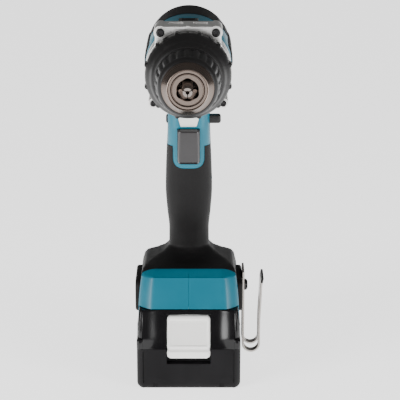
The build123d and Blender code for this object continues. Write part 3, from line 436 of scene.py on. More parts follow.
corner_narrow = 1.0 - corner_r / button_half * (1 - np.sqrt(1 - 0.97 * into_corner ** 2))
front = np.stack([across * button_half * corner_narrow, face_y + corner_pull, z_rows + 0 * across], -1)
back = front.copy()
back[..., 1] = np.minimum(-53.2 + (back[..., 2] - 31).clip(0) * 0.347, -45.0)
face = sheet_solid("button_face", front, back)
tongue = box_piece("tongue", (-8, 8), (-46, -42.3), (50, 58.8))
button = joined("battery_release_button", [face, tongue])
softened(button, 0.3, 2, 40)
settle(button, "battery_button", button_white, ["battery_button"])

# ---- clamshell, handle and foot ----------------------------------------------------------
# The teal nylon body that shows as the trigger surround and the foot's nose. Two halves are
# moulded with a fine matt texture, meet on the middle plane and are held by screws.
shaft_low, shaft_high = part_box("rotor_shaft")
axis_z = shaft_low.z / mm / 2 + shaft_high.z / mm / 2
teal = moulded("body_teal", (0.0015, 0.128, 0.188), 0.38, grain=1100, bump=0.10, wear=0.05, shine=0.35)

# height, front, back, half width, corner radius, share of the fall towards the rear
form_levels = np.array([
    (207.0, -17.5, 33.0, 15.3, 9.0, 0), (186.0, -17.5, 33.0, 15.5, 9.0, 0),
    (170.0, -15.0, 33.5, 16.0, 11.0, 0), (152.0, -11.0, 36.0, 16.8, 13.5, 0),
    (135.0, -8.0, 39.0, 17.2, 14.5, 0), (118.0, -4.5, 41.5, 16.2, 14.0, 0),
    (102.0, -0.5, 43.0, 14.8, 13.0, 0), (95.0, 0.5, 44.0, 15.0, 13.0, 1),
    (90.5, -3.5, 46.0, 18.5, 13.0, 1), (87.0, -13.0, 49.0, 25.5, 12.0, 1),
    (84.0, -33.0, 52.5, 32.5, 9.0, 1), (79.2, -41.5, 54.0, 34.5, 9.0, 0.8),
    (59.2, -50.0, 56.0, 36.6, 9.5, 0), (46.3, -50.0, 56.5, 37.0, 9.5, 0)])[::-1]
lip_z, nose_top_z, foot_top_z, foot_end_z = 59.2, 79.2, 84.0, 88.0
lip_y, nose_top_y, foot_top_front = -50.0, -41.5, -33.0
foot_fall = 0.123


def eased(values, knots, where):
    """A cubic curve through the knots that never overshoots between two of them."""
    values, knots = np.asarray(values, float), np.asarray(knots, float)
    step = np.diff(knots)
    slope = np.diff(values, axis=0) / step[:, None]
    tangent = np.zeros_like(values)
    both = slope[:-1] * slope[1:] > 0
    tangent[1:-1] = np.where(both, 2 * slope[:-1] * slope[1:] / (slope[:-1] + slope[1:] + 1e-12), 0)
    tangent[0], tangent[-1] = slope[0], slope[-1]
    k = np.clip(np.searchsorted(knots, where, side="right") - 1, 0, len(step) - 1)
    t = ((where - knots[k]) / step[k])[:, None]
    h = step[k][:, None]
    return ((1 + 2 * t) * (1 - t) ** 2 * values[k] + t * (1 - t) ** 2 * h * tangent[k]
            + t * t * (3 - 2 * t) * values[k + 1] + t * t * (t - 1) * h * tangent[k + 1])


def form_grid(out, low=46.3, high=207.0, count=120):
    """Loops round the handle and foot, moved outwards by out, with their heights."""
    z = np.unique(np.concatenate([np.linspace(low, high, count), np.linspace(foot_top_z, 98, 24),
                                  [lip_z, nose_top_z]]))
    front, back, half, radius, share = eased(form_levels[:, 1:], form_levels[:, 0], z).T
    straight_front = np.interp(z, [lip_z, nose_top_z, foot_top_z], [lip_y, nose_top_y, foot_top_front])
    front = np.where(z < foot_top_z, straight_front, front)
    facet = np.interp(z, [foot_top_z, foot_end_z], [0.6, 0.0])
    loop = plan_loop(half + out, front - out, back + out, radius + out, facet=facet[:, None])
    return raised(loop, z[:, None] - foot_fall * share[:, None] * (loop[..., 1] - foot_top_front))


def prism_x(name, outline, low, high):
    """A closed prism along X between two places, from an outline of (y, z) points."""
    outline = np.asarray(outline, float)
    return capped_piece(name, np.stack([np.column_stack([np.full(len(outline), x), outline])
                                        for x in (low, high)]))


def prism_y(name, outline, front, back):
    """A closed prism along Y between two stations, from an outline of (x, z) points."""
    outline = np.asarray(outline, float)
    return capped_piece(name, np.stack([np.insert(outline, 1, y, axis=1) for y in (front, back)]))


def side_hole(y, z, radius=3.05, low=8.5, high=45.0, count=28):
    """A closed cylinder along X that cuts a round hole into one flank."""
    angle = turn(count)
    return prism_x("hole", np.column_stack([y + radius * np.cos(angle), z + radius * np.sin(angle)]),
                   low, high)


def rounded(points, radius, steps=5):
    """The outline with each corner replaced by a curve that starts radius before it."""
    points = np.asarray(points, float)
    made = []
    for k, here in enumerate(points):
        to_last, to_next = points[k - 1] - here, points[(k + 1) % len(points)] - here
        reach = min(radius, np.linalg.norm(to_last) * 0.45, np.linalg.norm(to_next) * 0.45)
        start = here + to_last / np.linalg.norm(to_last) * reach
        end = here + to_next / np.linalg.norm(to_next) * reach
        for t in np.linspace(0, 1, steps):
            made.append((1 - t) ** 2 * start + 2 * t * (1 - t) * here + t * t * end)
    return np.array(made)


def barrel(name, y, radius, count=96):
    """A closed cylinder along the spindle axis between two stations."""
    angle = turn(count)
    return capped_piece(name, np.stack([
        np.column_stack([radius * np.cos(angle), np.full(count, place), axis_z + radius * np.sin(angle)])
        for place in y]))


rail_top = 57.3
rail_room, neck_room = 30.3, 26.3
lever_z = 190.0
trigger_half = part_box("trigger")[1].x / mm
trigger_room = trigger_half + 0.35
motor_room_r, flange_room_r = 28.3, 31.2


def body_openings():
    """Cutters for the battery's rails and hood, the trigger, lever, lamp and motor."""
    lamp = rounded([(-7.85, 193.25), (7.85, 193.25), (5.85, 186.15), (-5.85, 186.15)], 0.8)
    return [box_piece("cut", (-neck_room, neck_room), (-70, 46.3), (40, rail_top)),
            box_piece("cut", (-rail_room, rail_room), (-70, 46.3), (50.7, rail_top)),
            box_piece("cut", (-50, 50), (-70, -39.7), (40, lip_z)),
            box_piece("cut", (-30, 30), (-10.3, -2.7), (lever_z - 3.5, lever_z + 3.5)),
            box_piece("cut", (-trigger_room, trigger_room), (-40, -1.5), (158.3, 184.95)),
            prism_y("cut", lamp, -30, -12),
            barrel("cut", (-41, 70), motor_room_r),
            barrel("cut", (-45, -16.0), flange_room_r)]


teal_form = capped_piece("body_shell", form_grid(-0.25))
for cutter in body_openings():
    cut(teal_form, cutter)
screw_holes = ((24.0, 196.0), (2.5, 145.0), (31.0, 108.0), (45.0, 68.0), (-33.0, 71.0))
for y, z in screw_holes:
    cut(teal_form, side_hole(y, z))
cut(teal_form, box_piece("seam", (-0.07, 0.07), (-60, -37), (59, 90)))
softened(teal_form, 0.3, 2, 38)
settle(teal_form, "housing", teal, ["housing_left", "housing_right"], sharp=40)

# ---- overmoulded rubber, handle and foot -------------------------------------------------
# Soft black elastomer moulded over the handle and the foot behind its nose, standing a
# little proud of the teal. The two hook pads push out of it on either side.
rubber_black = moulded("grip_rubber", (0.0055, 0.0050, 0.0052), 0.55, grain=750, bump=0.35, wear=0.10,
                       shine=0.15)
skin_depth = 1.5


def kept_inside(piece, room):
    """Keeps only what lies inside the room's shape and removes the room."""
    modified(piece, "BOOLEAN", operation="INTERSECT", object=room, solver="EXACT")
    bpy.data.objects.remove(room)
    return piece


# side view of the rubber: under the trigger, round the handle and over the foot behind its nose
rubber_side = rounded([(-62, 171), (4, 171), (22, 186), (36, 206), (60, 206), (80, 40), (-23, 40),
                       (-31, 84.4), (-62, 84.4)], 3.0)
trigger_surround = rounded([(-11.5, 153.6), (11.5, 153.6), (11.5, 182), (-11.5, 182)], 8.0, 9)
skin_form = capped_piece("grip_rubber", form_grid(0.0))
kept_inside(skin_form, prism_x("keep", rubber_side, -50, 50))
cut(skin_form, capped_piece("hollow", form_grid(-skin_depth, 40.0, 215.0)))
cut(skin_form, prism_y("cut", trigger_surround, -40, 4))
cut(skin_form, box_piece("cut", (-50, 50), (-70, -39.7), (40, lip_z)))
cut(skin_form, box_piece("cut", (-rail_room, rail_room), (-70, 46.3), (40, rail_top)))
for y, z in screw_holes[1:]:
    cut(skin_form, side_hole(y, z))
softened(skin_form, 0.35, 2, 38)
settle(skin_form, "housing", rubber_black, ["grip_left", "grip_right"], sharp=40)

pad_half, pad_low, pad_top = 22, 46.3, 71.0
hook_screw_z = 61
for side, hand in ((1, "right"), (-1, "left")):
    pad = rounded([(-pad_half, pad_low), (pad_half, pad_low), (pad_half, pad_top), (-pad_half, pad_top)],
                  7.0, 7)
    middle = pad.mean(axis=0)
    away = pad - middle
    rows = []
    for x, shrink in ((34.0, 0), (38.0, 0), (39.0, 0.5), (39.4, 1.1), (39.45, 1.8)):
        loop = middle + away * (1 - shrink / np.abs(away).max(axis=0))
        rows.append(np.column_stack([np.full(len(pad), side * x), loop]))
    pad_piece = capped_piece(f"hook_pad_{hand}", np.stack(rows))
    cut(pad_piece, side_hole(0, hook_screw_z, 3.25, side * 31.4, side * 42.0, 32))
    settle(pad_piece, "housing", rubber_black)

# ---- motor barrel ------------------------------------------------------------------------
# The teal tube round the motor and its rubber rear cap, with a rounded back, a side bumper
# on each flank and rows of air slots beside the fan and ahead of the windings.
head_r = 31.0
head_front = -16.0
head_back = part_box("housing_left")[1].y / mm


def turned_piece(name, profile, count=144, ripple=None, closed=True):
    """A body turned about the spindle axis from (station, radius) points.

    ripple takes the stations, radii and angles as arrays and returns the radii to use."""
    profile = np.asarray(profile, float)
    angle = turn(count)
    y = profile[:, :1] + 0 * angle
    r = profile[:, 1:] + 0 * angle
    if ripple is not None:
        r = ripple(y, r, angle + 0 * r)
    grid = np.stack([r * np.cos(angle), y, axis_z + r * np.sin(angle)], -1)
    return mesh_piece(name, grid, grid_faces(*grid.shape[:2], wrap_rows=closed, wrap_columns=True))


def arc(centre, radius, start, stop, steps):
    """Points (y, r) along a circular arc, angles in degrees from +Y towards larger radii."""
    angle = np.radians(np.linspace(start, stop, steps))
    return [(centre[0] + radius * math.cos(a), centre[1] + radius * math.sin(a)) for a in angle]


def vent_cutters():
    """Prisms for the air slots on both flanks, five rows beside the windings and the fan."""
    length, half_height, lowest, pitch = 9, 1.2, axis_z - 25, 6
    made = []
    for row in range(5):
        low, high = lowest + pitch * row - half_height, lowest + pitch * row + half_height
        for front in (18.0, 51.0):
            slot = rounded([(front, low), (front + length, low), (front + length, high), (front, high)],
                           1.0, 4)
            for side in (-1, 1):
                made.append(prism_x("cut", slot, *sorted((side * 18, side * 42))))
    return made


def split_curve(radius):
    """Outline of the rear cap in side view: it sweeps back as it rises."""
    return rounded([(4, 150), (4, 171), (22, 186), (36, 206), (44, 228), (36, 246), (22, 266), (90, 266),
                    (90, 150)], radius)


teal_r = head_r - 0.25
tube_back = 58
tube = turned_piece("motor_tube", [
    (head_front, 28.2), (head_front, teal_r - 0.6), (head_front + 0.6, teal_r), (20, teal_r),
    (tube_back, teal_r), (tube_back, 28.2), (20, 28.2)], 192)
for cutter in vent_cutters():
    cut(tube, cutter)
cut(tube, box_piece("cut", (-7.3, 7.3), (-13.3, 6.3), (250, 270)))
softened(tube, 0.25, 2, 40)
settle(tube, "housing", teal, sharp=40)

back_round = 7
cap_profile = [(-10, 29.4), (-10, head_r), (30, head_r)]
cap_profile += arc((head_back - back_round, head_r - back_round), back_round, 90, 0, 9)
cap_profile += [(head_back, 18.0), (head_back - 0.8, 17.0), (head_back - 0.8, 9.0), (head_back, 8.0),
                (head_back, 0.0), (head_back - 3.0, 0.0), (head_back - 3.0, 20.0),
                (head_back - 4.5, 24.0), (head_back - 9, 28.1), (30, 29.4)]
cap = turned_piece("motor_rear_cap", cap_profile, 192)
kept_inside(cap, prism_x("keep", split_curve(4.0), -50, 50))
for cutter in vent_cutters():
    cut(cap, cutter)
for z in (axis_z - 19, axis_z + 19):
    cut(cap, side_hole(64.2, z))
softened(cap, 0.35, 2, 40)
settle(cap, "housing", rubber_black, sharp=40)

bumper_low, bumper_height = axis_z - 4.0, 16.0
bumper_front, bumper_length = 2.0, 58.0
rib_pitch, rib_depth = 4.2, 0.12
share_y, share_z = np.meshgrid(np.linspace(0, 1, 40), np.linspace(0, 1, 15))
y = bumper_front + bumper_length * share_y
z = bumper_low + bumper_height * share_z
from_end = np.minimum(share_y, 1 - share_y) * bumper_length / 3.0
from_side = np.minimum(share_z, 1 - share_z) * bumper_height / 2.5
edge = np.minimum(from_end, from_side).clip(0, 1)
ribs = rib_depth * np.cos(y * 2 * math.pi / rib_pitch) * edge
outer_r = head_r - 0.6 + 1.45 * np.sqrt(1 - (1 - edge) ** 2) + ribs
inner_r = head_r - 1.8
for side, hand in ((1, "right"), (-1, "left")):
    outer = np.stack([side * np.sqrt(np.maximum(outer_r ** 2 - (z - axis_z) ** 2, 0)), y, z], -1)
    inner = np.stack([side * np.sqrt(inner_r ** 2 - (z - axis_z) ** 2), y, z], -1)
    bumper = sheet_solid(f"side_bumper_{hand}", outer, inner)
    for cutter in vent_cutters():
        cut(bumper, cutter)
    settle(bumper, "housing", rubber_black)

# ---- gear housing ------------------------------------------------------------------------
# A die-cast aluminium flange, tumbled to a satin skin: square shoulders with an ear round
# each screw, a setting pointer on top and a boss that carries the chuck's bearings.


def turned_place(material, place):
    """Coordinates of distance from the spindle axis and station, so that noise becomes rings."""
    links = material.node_tree.links
    centred = new_node(material, "VectorMath", place)
    centred.operation = "SUBTRACT"
    centred.inputs[1].default_value = (0, 0, axis_z * mm)
    flat = new_node(material, "VectorMath", centred.outputs["Vector"])
    flat.operation = "MULTIPLY"
    flat.inputs[1].default_value = (1, 0, 1)
    radius = new_node(material, "VectorMath", flat.outputs["Vector"])
    radius.operation = "LENGTH"
    rings = new_node(material, "CombineXYZ", radius.outputs["Value"])
    station = new_node(material, "SeparateXYZ", place)
    links.new(station.outputs["Y"], rings.inputs["Y"])
    return rings.outputs["Vector"]


def metal(name, colour, roughness, lines=0.0, bump=0.1, wear=0.08, grain=420.0, metallic=1.0):
    """Metal with grain and blotches; lines above zero adds rings turned about the spindle."""
    material, shader, place = new_finish(name)
    shader.inputs["Metallic"].default_value = metallic
    broad = new_node(material, "TexNoise", place, Scale=70.0, Detail=6.0)
    fine_place = turned_place(material, place) if lines > 0 else place
    fine = new_node(material, "TexNoise", fine_place, Scale=lines if lines > 0 else grain, Detail=4.0)
    half = new_node(material, "Math", broad.outputs["Fac"])
    half.operation = "MULTIPLY"
    half.inputs[1].default_value = 0.5
    mixed = new_node(material, "Math", fine.outputs["Fac"])
    mixed.operation = "MULTIPLY_ADD"
    mixed.inputs[1].default_value = 0.5
    material.node_tree.links.new(half.outputs["Value"], mixed.inputs[2])
    shades = [c * (1 - wear) for c in colour], [min(1.0, c * (1 + wear)) for c in colour]
    wire_finish(material, shader, mixed.outputs["Value"], fine.outputs["Fac"], shades, (0.3, 0.72),
                (max(0.03, roughness - 0.08), roughness + 0.08), bump, 0.0002)
    return material


cast = metal("cast_aluminium", (0.80, 0.79, 0.77), 0.42, bump=0.25, wear=0.05, grain=900)
screw_dark = metal("screw_black", (0.030, 0.029, 0.030), 0.38, bump=0.1, wear=0.3, metallic=0.8)
flange_front, flange_back = -40.0, -16.2
ears = [(19.3, 28.5, 4.6, 3.0), (-19.3, 28.5, 4.6, 3.0), (24.5, -21.5, 3.6, 2.2), (-24.5, -21.5, 3.6, 2.2)]


def union(name, parts):
    """One closed solid made from several that overlap."""
    whole = parts[0]
    for part in parts[1:]:
        modified(whole, "BOOLEAN", operation="UNION", object=part, solver="EXACT")
        bpy.data.objects.remove(part)
    whole.name = name
    return whole


def slab(outline, front, back, draft=0.0):
    """A block between two stations from an outline of (x, z); its back is wider by the draft."""
    outline = np.asarray(outline, float)
    middle = outline.mean(axis=0)
    rows = []
    away = outline - middle
    for y, grow in ((front, 0.0), (back, draft)):
        wide = middle + away * (1 + grow / np.abs(away).max(axis=0))
        rows.append(np.column_stack([wide[:, 0], np.full(len(outline), y), axis_z + wide[:, 1]]))
    return capped_piece("slab", np.stack(rows))


def disc(x, z, radius, count=40):
    """Points round a circle of the flange plane."""
    angle = turn(count)
    return np.column_stack([x + radius * np.cos(angle), z + radius * np.sin(angle)])


shoulders = rounded([(-23, -8.5), (23, -8.5), (23, 32.5), (-23, 32.5)], 4.5, 8)
pointer = rounded([(-2.4, 31), (2.4, 31), (1.4, 33.1), (-1.4, 33.1)], 0.6)
# ears and pointer stand a hair proud of each other, so that the union has no doubled faces
hair = 0.01
solids = [slab(shoulders, flange_front, flange_back),
          slab(disc(0, 0, 30.5, 120), flange_front + hair, flange_back - hair)]
for number, (x, z, ear, _) in enumerate(ears):
    solids.append(slab(disc(x, z, ear), flange_front - 2 * hair, flange_back + 1.3 * hair * (number + 1)))
solids.append(slab(pointer, flange_front - 1.5 * hair, -33.0))
casting = union("gear_casting", solids)
cut(casting, barrel("cut", (-45, -30), 21.9))
cut(casting, barrel("cut", (-31, 0), 27.5))
cut(casting, box_piece("cut", (-4.2, 4.2), (-13, -1), (axis_z + 15, axis_z + 29)))
for x, z, _, _ in ears:
    cut(casting, slab(disc(x, z, 1.6), -45, -10))
# hollows in the top between the ribs
for side in (-1, 1):
    hollow_x = sorted((side * 3.6, side * 13.6))
    cut(casting, box_piece("cut", hollow_x, (-34.5, -20.5), (axis_z + 31.5, axis_z + 35)))
softened(casting, 0.7, 3, 40)
settle(casting, "housing", cast, ["gear_housing"], sharp=40)

snout = turned_piece("gear_snout", [(-58, 11.6), (-58, 15.6), (-57.6, 16), (-39.5, 16), (-39.5, 22.5),
                                    (-36, 22.5), (-36, 11.6)], 96)
settle(snout, "housing", cast)
case_tube = turned_piece("gear_case_tube", [(-31.5, 21.35), (-31.5, 27.6), (7.9, 27.6), (7.9, 21.35)], 96)
settle(case_tube, "housing", cast)

# button heads with a six-lobed drive
lobes = 1 + 0.10 * np.cos(6 * turn(36))
for number, (x, z, _, head) in enumerate(ears):
    rings = []
    for depth, r, shape in ((0.0, head - 0.02, 1), (1.5, head - 0.02, 1), (2.0, head - 0.35, 1),
                            (2.2, head - 0.9, 1), (2.2, head * 0.55, lobes), (1.0, head * 0.5, lobes),
                            (1.0, 0.01, 1)):
        rings.append(np.column_stack([x + r * shape * np.cos(turn(36)),
                                      np.full(36, flange_front - 0.05 - depth),
                                      axis_z + z + r * shape * np.sin(turn(36))]))
    screw = capped_piece(f"gear_screw_{number + 1}", np.stack(rings))
    settle(screw, "housing", screw_dark, ["gear_housing_screws"] if number == 0 else ())

# ---- clutch dial -------------------------------------------------------------------------
# The torque setting ring, moulded nylon: a cone with twelve grip bumps near its rear edge,
# recessed marks between them and a rolled front lip.
dial_black = moulded("dial_nylon", (0.0080, 0.0074, 0.0074), 0.42, grain=1300, bump=0.2, wear=0.1,
                     shine=0.28)
dial_front = -65.0
dial_back = -40.3
dial_bore = 22.4
dial_r = 30.0
bump_count = 12
bump_height, mark_depth = 1.25, 0.55


def dial_ripple(y, r, angle):
    """Twelve rounded bumps that rise towards the rear edge, with a shallow mark between."""
    phase = (angle - math.radians(15)) * bump_count
    bump = np.clip((np.cos(phase) - 0.80) / 0.20, 0, 1)
    rise = np.clip((y + 52.4) / 1.6, 0, 1) * np.clip((-42.0 - y) / 0.8, 0, 1)
    outer = (r > 28.4).astype(float)
    swell = bump_height * np.sqrt(np.maximum(bump, 0)) * rise * outer
    mark = np.clip((np.cos(phase + math.pi) - 0.93) / 0.04, 0, 1)
    band = np.clip((y + 49.5) / 0.5, 0, 1) * np.clip((-44.4 - y) / 0.5, 0, 1)
    return r + swell - mark_depth * mark * band * outer


# the bore, the rolled front lip, the cone, then the wide band with the bumps
profile = [(-60.5, dial_bore), (-62, 21.5), (dial_front + 0.3, 21.6), (dial_front, 21.9),
           (dial_front, 23.0), (dial_front + 0.25, 23.35), (dial_front + 0.9, 23.5), (-63.6, 24.2),
           (-62, 25.3), (-60, 25.8), (-57, 26.6), (-55.4, 27.3), (-53.6, 28.6)]
profile += [(y, 28.9 + 1.1 * math.sin((y + 53) / 4 * math.pi / 2)) for y in np.linspace(-53, -49.4, 9)]
profile += [(y, dial_r) for y in np.linspace(-49.2, -41.4, 24)]
profile += [(-40.9, 29.9), (-40.5, 29.6), (dial_back, 29.0), (dial_back, dial_bore)]
dial = turned_piece("clutch_dial_ring", profile, 480, dial_ripple)
settle(dial, "clutch_dial", dial_black, ["clutch_dial"], sharp=40)

# ---- chuck -------------------------------------------------------------------------------
# A keyless chuck: a fluted nylon grip over a turned and nickel-plated steel sleeve and nose,
# and three hardened jaws in the body's bore.
nose_y = -97.0
grip_back = -66.5
grip_r = 22.6
grip_front_r = 20.65
flute_count, flute_depth = 24, 0.75


def grip_ripple(y, r, angle):
    """Twenty-four broad flutes with rounded lands, fading out at the front."""
    wave = 0.5 + 0.5 * np.cos(flute_count * angle)
    flute = (1 - wave) ** 1.5
    length = np.clip((y + 86.0) / 1.5, 0, 1) * np.clip((-68.8 - y) / 0.8, 0, 1)
    return r - flute_depth * flute * length * (r > 19.9)


profile = [(-87.2, 19.6), (-88.4, 19.4), (-89.6, 18.35), (-90.5, 17.82), (-90.75, 17.95), (-90.6, 18.25),
           (-89.5, 19.3), (-88.2, 20.1), (-87.0, 20.45), (-86.2, 20.6)]
profile += [(y, grip_front_r + (grip_r - grip_front_r) * math.sin((y + 86) / 14 * math.pi / 2))
            for y in np.linspace(-86, -72, 16)]
profile += [(-70, grip_r), (-68.9, grip_r), (-68.2, grip_r), (-67.6, 22.5), (-66.8, 22.1),
            (grip_back, 21.6), (grip_back, 19.6)]
grip = turned_piece("chuck_grip_ring", profile, 480, grip_ripple)
settle(grip, "chuck_sleeve", dial_black, ["chuck_grip"], sharp=50)

nickel = metal("chuck_nickel", (0.19, 0.152, 0.131), 0.28, lines=2600, bump=0.22, wear=0.10)
# the sleeve's front edge is rolled to a bright ring
sleeve = turned_piece("chuck_sleeve_nose", [
    (nose_y + 0.9, 12.3), (nose_y + 0.9, 13.0), (nose_y + 0.1, 13.5), (nose_y, 13.75),
    (nose_y + 0.1, 14.0), (nose_y + 0.75, 14.35), (nose_y + 1.0, 14.3), (-95.4, 14.5), (-91.0, 17.45),
    (-90.75, 17.7), (-90.5, 17.7), (-89.6, 18.25), (-88.5, 19.2), (-88.0, 19.45), (grip_back, 19.45),
    (grip_back, 18.45), (-89.2, 18.45), (-91.2, 12.45), (nose_y + 0.9, 11.62)], 192)
settle(sleeve, "chuck_sleeve", nickel, ["chuck_sleeve"], sharp=25)

# the body: its nose, the groove for the jaws' nut and the socket on the spindle
mouth_r, body_r, groove_r, socket_r, chuck_screw_r = 6.9, 18.0, 11.0, 6.35, 2.7
body_nose = turned_piece("chuck_body_nose", [
    (nose_y + 1.1, mouth_r), (nose_y + 0.5, 7.5), (nose_y + 0.5, 10.3), (nose_y + 0.15, 10.6),
    (nose_y + 0.1, 10.8), (nose_y + 0.5, 11.15), (-90.0, 11.8), (-88.4, body_r), (-84.3, body_r),
    (-84.3, groove_r), (-78.7, groove_r), (-78.7, body_r), (-66, body_r), (-63, 14.0), (-58.5, 12.0),
    (-58.5, socket_r), (-69.95, socket_r), (-69.95, chuck_screw_r), (-72, chuck_screw_r),
    (-72, mouth_r)], 144)

# three bores lean in towards the spindle axis, one for each jaw
jaw_tilt = math.radians(16)
jaw_bore_r = 3.68
jaw_tip_y, jaw_tip_out = -104.0, 2.2
for k in range(3):
    place = math.radians(90 + 120 * k)
    bore_rows = []
    for y in (-112.0, -55.0):
        out = jaw_tip_out + (y - jaw_tip_y) * math.tan(jaw_tilt)
        high = out + jaw_bore_r / math.cos(jaw_tilt) * np.sin(turn(48))
        wide = jaw_bore_r * np.cos(turn(48))
        bore_rows.append(np.column_stack([high * math.cos(place) - wide * math.sin(place), np.full(48, y),
                                          axis_z + high * math.sin(place) + wide * math.cos(place)]))
    cut(body_nose, capped_piece("jaw_bore", np.stack(bore_rows)))
settle(body_nose, "spindle", nickel, ["chuck_body"], sharp=25)

# ---- trigger -----------------------------------------------------------------------------
# A polished nylon trigger with a shallow finger dish and rounded lower corners.
trigger_gloss = moulded("trigger_nylon", (0.010, 0.0082, 0.0092), 0.3, grain=800, bump=0.05, wear=0.1,
                        coat=0.2)
trigger_low, trigger_top = 158.6, 184.6
trigger_face, trigger_back = -22.35, -9.5
dish, side_round = 0.25, 2.0
across, up = np.meshgrid(np.linspace(-1, 1, 31), np.linspace(0, 1, 30))
face_z = trigger_low + (trigger_top - trigger_low) * up
face_y = trigger_face + 0.9 * (1 - up) ** 2 * 1.6 - dish * np.sin(up * math.pi)
face_y = face_y + 2.6 * ((0.11 - up) / 0.11).clip(0, 1) ** 2 + 0.9 * ((up - 0.95) / 0.05).clip(0, 1) ** 2
face_y = face_y + side_round * ((np.abs(across) - 0.72) / 0.28).clip(0, 1) ** 2.4
face_y = face_y + 0.14 * (1 - np.abs(across)) * np.sin(up * math.pi)
pinch = 1 - 0.10 * ((0.12 - up) / 0.12).clip(0, 1) ** 2
front = np.stack([across * trigger_half * pinch, face_y, face_z], -1)
back = np.stack([across * trigger_half * pinch, np.full_like(face_y, trigger_back), face_z], -1)
trigger = sheet_solid("trigger_shoe", front, back)
settle(trigger, "trigger", trigger_gloss, ["trigger"], sharp=50)

# ---- direction lever ---------------------------------------------------------------------
# A nylon bar through the neck, pushed across to choose the direction of turn.
lever_low, lever_high = [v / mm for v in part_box("direction_lever")]
half_y, half_z = (lever_high.y - lever_low.y) / 2, (lever_high.z - lever_low.z) / 2
mid_y, mid_z = (lever_high.y + lever_low.y) / 2, (lever_high.z + lever_low.z) / 2


def squared(wave):
    """Turns a sine wave into one with flatter tops, which makes a rounded square of a circle."""
    return np.sign(wave) * np.abs(wave) ** 0.45


section_y, section_z = squared(np.cos(turn(40))) * half_y, squared(np.sin(turn(40))) * half_z
rows = []
for inset, size in ((0.0, 0.55), (0.3, 0.8), (1.0, 0.96), (2.0, 1.0)):
    rows.append((lever_low.x + inset, size))
    rows.append((lever_high.x - inset, size))
rows = [np.column_stack([np.full(40, x), mid_y + section_y * size, mid_z + section_z * size])
        for x, size in sorted(rows)]
lever = capped_piece("direction_bar", np.stack(rows))
settle(lever, "direction_lever", dial_black, ["direction_lever"], sharp=35)

# ---- speed lever -------------------------------------------------------------------------
# The two-speed slider on top, with three finger ribs, pushed along to shift the gearbox.
slider_half, slider_front, rib_half = 7.0, -13.0, 5.0
slider_x = np.array([-1, 1, 1, -1]) * slider_half
slider_y = np.array([slider_front, slider_front, 0.0, 0.0])
slide = capped_piece("speed_slider", np.stack([
    np.column_stack([slider_x * size, slider_y, np.full(4, z)])
    for z, size in ((258.3, 1.0), (261.4, 1.0), (261.9, 0.97))]))
fork_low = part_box("speed_lever")[0].z / mm
parts = [slide, box_piece("fork", (-3.5, 3.5), (-10.9, -9.1), (fork_low, 258.4))]
for y in (-8.5, -6.0, -3.5):
    rib_x = np.array([-1, 1, 1, -1]) * rib_half
    parts.append(capped_piece("rib", np.stack([
        np.column_stack([rib_x, y + np.array([-1, -1, 1, 1]) * half, np.full(4, z)])
        for z, half in ((261.7, 0.75), (262.5, 0.45))])))
speed = joined("speed_slider", parts)
softened(speed, 0.25, 2, 30)
settle(speed, "speed_slider", dial_black, ["speed_lever"], sharp=35)

# ---- belt hook ---------------------------------------------------------------------------
# A bent spring-steel hook, nickel plated, with a slot that leaves two rails at its lower end
# and a flared tip, covered in black near its top as painted shade. One screw clamps it to the right pad.
hook_nickel = metal("hook_nickel", (0.42, 0.39, 0.365), 0.28, bump=0.08, wear=0.10, grain=300)
strip_half = 0.8
leg_x = 40.35
bend_r, bend_z = 6.0, 17.8
outer_x = leg_x + 2 * bend_r
hook_top, tip_z = 74, 69
leg_points = 24
path = [(leg_x, z) for z in np.linspace(hook_top, 18, leg_points)]
path += [(leg_x + bend_r - bend_r * math.cos(a), bend_z - bend_r * math.sin(a))
         for a in np.radians(np.linspace(5, 175, 18))]
path += [(outer_x, z) for z in np.linspace(bend_z, 29, 5)]
path += [(outer_x + 0.6 * (1 - math.cos((z - 30) / 32 * math.pi)), z) for z in np.linspace(30, 61, 14)]
path += [(outer_x + 1.2 + 1.2 * ((z - 62) / 7) ** 1.4, z) for z in np.linspace(62.4, tip_z, 7)]
path = np.array(path)
along = np.gradient(path, axis=0)
normal = np.column_stack([along[:, 1], -along[:, 0]]) / np.linalg.norm(along, axis=1)[:, None]


def strip_solid(name, points, normals, y_low, y_high):
    """A strip that follows points of the XZ plane, its section a rectangle with cut corners."""
    corner = 0.35
    thin = strip_half - corner
    section = [(y_low + corner, -strip_half), (y_low, -thin), (y_high - corner, -strip_half),
               (y_high, -thin), (y_high - corner, strip_half), (y_high, thin),
               (y_low + corner, strip_half), (y_low, thin)]
    middle_y, width = (y_low + y_high) / 2, y_high - y_low
    section.sort(key=lambda place: math.atan2(place[1], (place[0] - middle_y) / width))
    across, out = np.array(section).T
    grid = np.stack([np.column_stack([point[0] + normal[0] * out, across, point[1] + normal[1] * out])
                     for point, normal in zip(points, normals)])
    return capped_piece(name, grid)


slot_top = 50.0
# above this height the flared tip is covered in black as painted shade
tip_shade_z = 65.7
strip_y = (-11, 12)
number = np.arange(len(path))
upper = (path[:, 1] > slot_top - 0.1) & (number < leg_points)
tip = (path[:, 1] > slot_top - 0.1) & (number > 40)
bare_tip = tip & (path[:, 1] < tip_shade_z + 0.3)
shaded_tip = tip & (path[:, 1] > tip_shade_z - 0.2)
slotted = np.arange(np.flatnonzero(upper)[-1], np.flatnonzero(tip)[0] + 1)
hook_parts = [strip_solid("hook", path[upper], normal[upper], *strip_y),
              strip_solid("hook", path[bare_tip], normal[bare_tip], *strip_y)]
for rail_y in ((-11, -5), (6, 12)):
    hook_parts.append(strip_solid("hook", path[slotted], normal[slotted], *rail_y))
# painted shade: a black sheet over the top of the flared tip stands in for the shadow on its bend
hook_tip = strip_solid("belt_hook_tip_shade", path[shaded_tip], normal[shaded_tip], *strip_y)
settle(hook_tip, "housing", dial_black, sharp=35)
hook = joined("belt_hook_strip", hook_parts)
settle(hook, "housing", hook_nickel, ["belt_hook"], sharp=35)

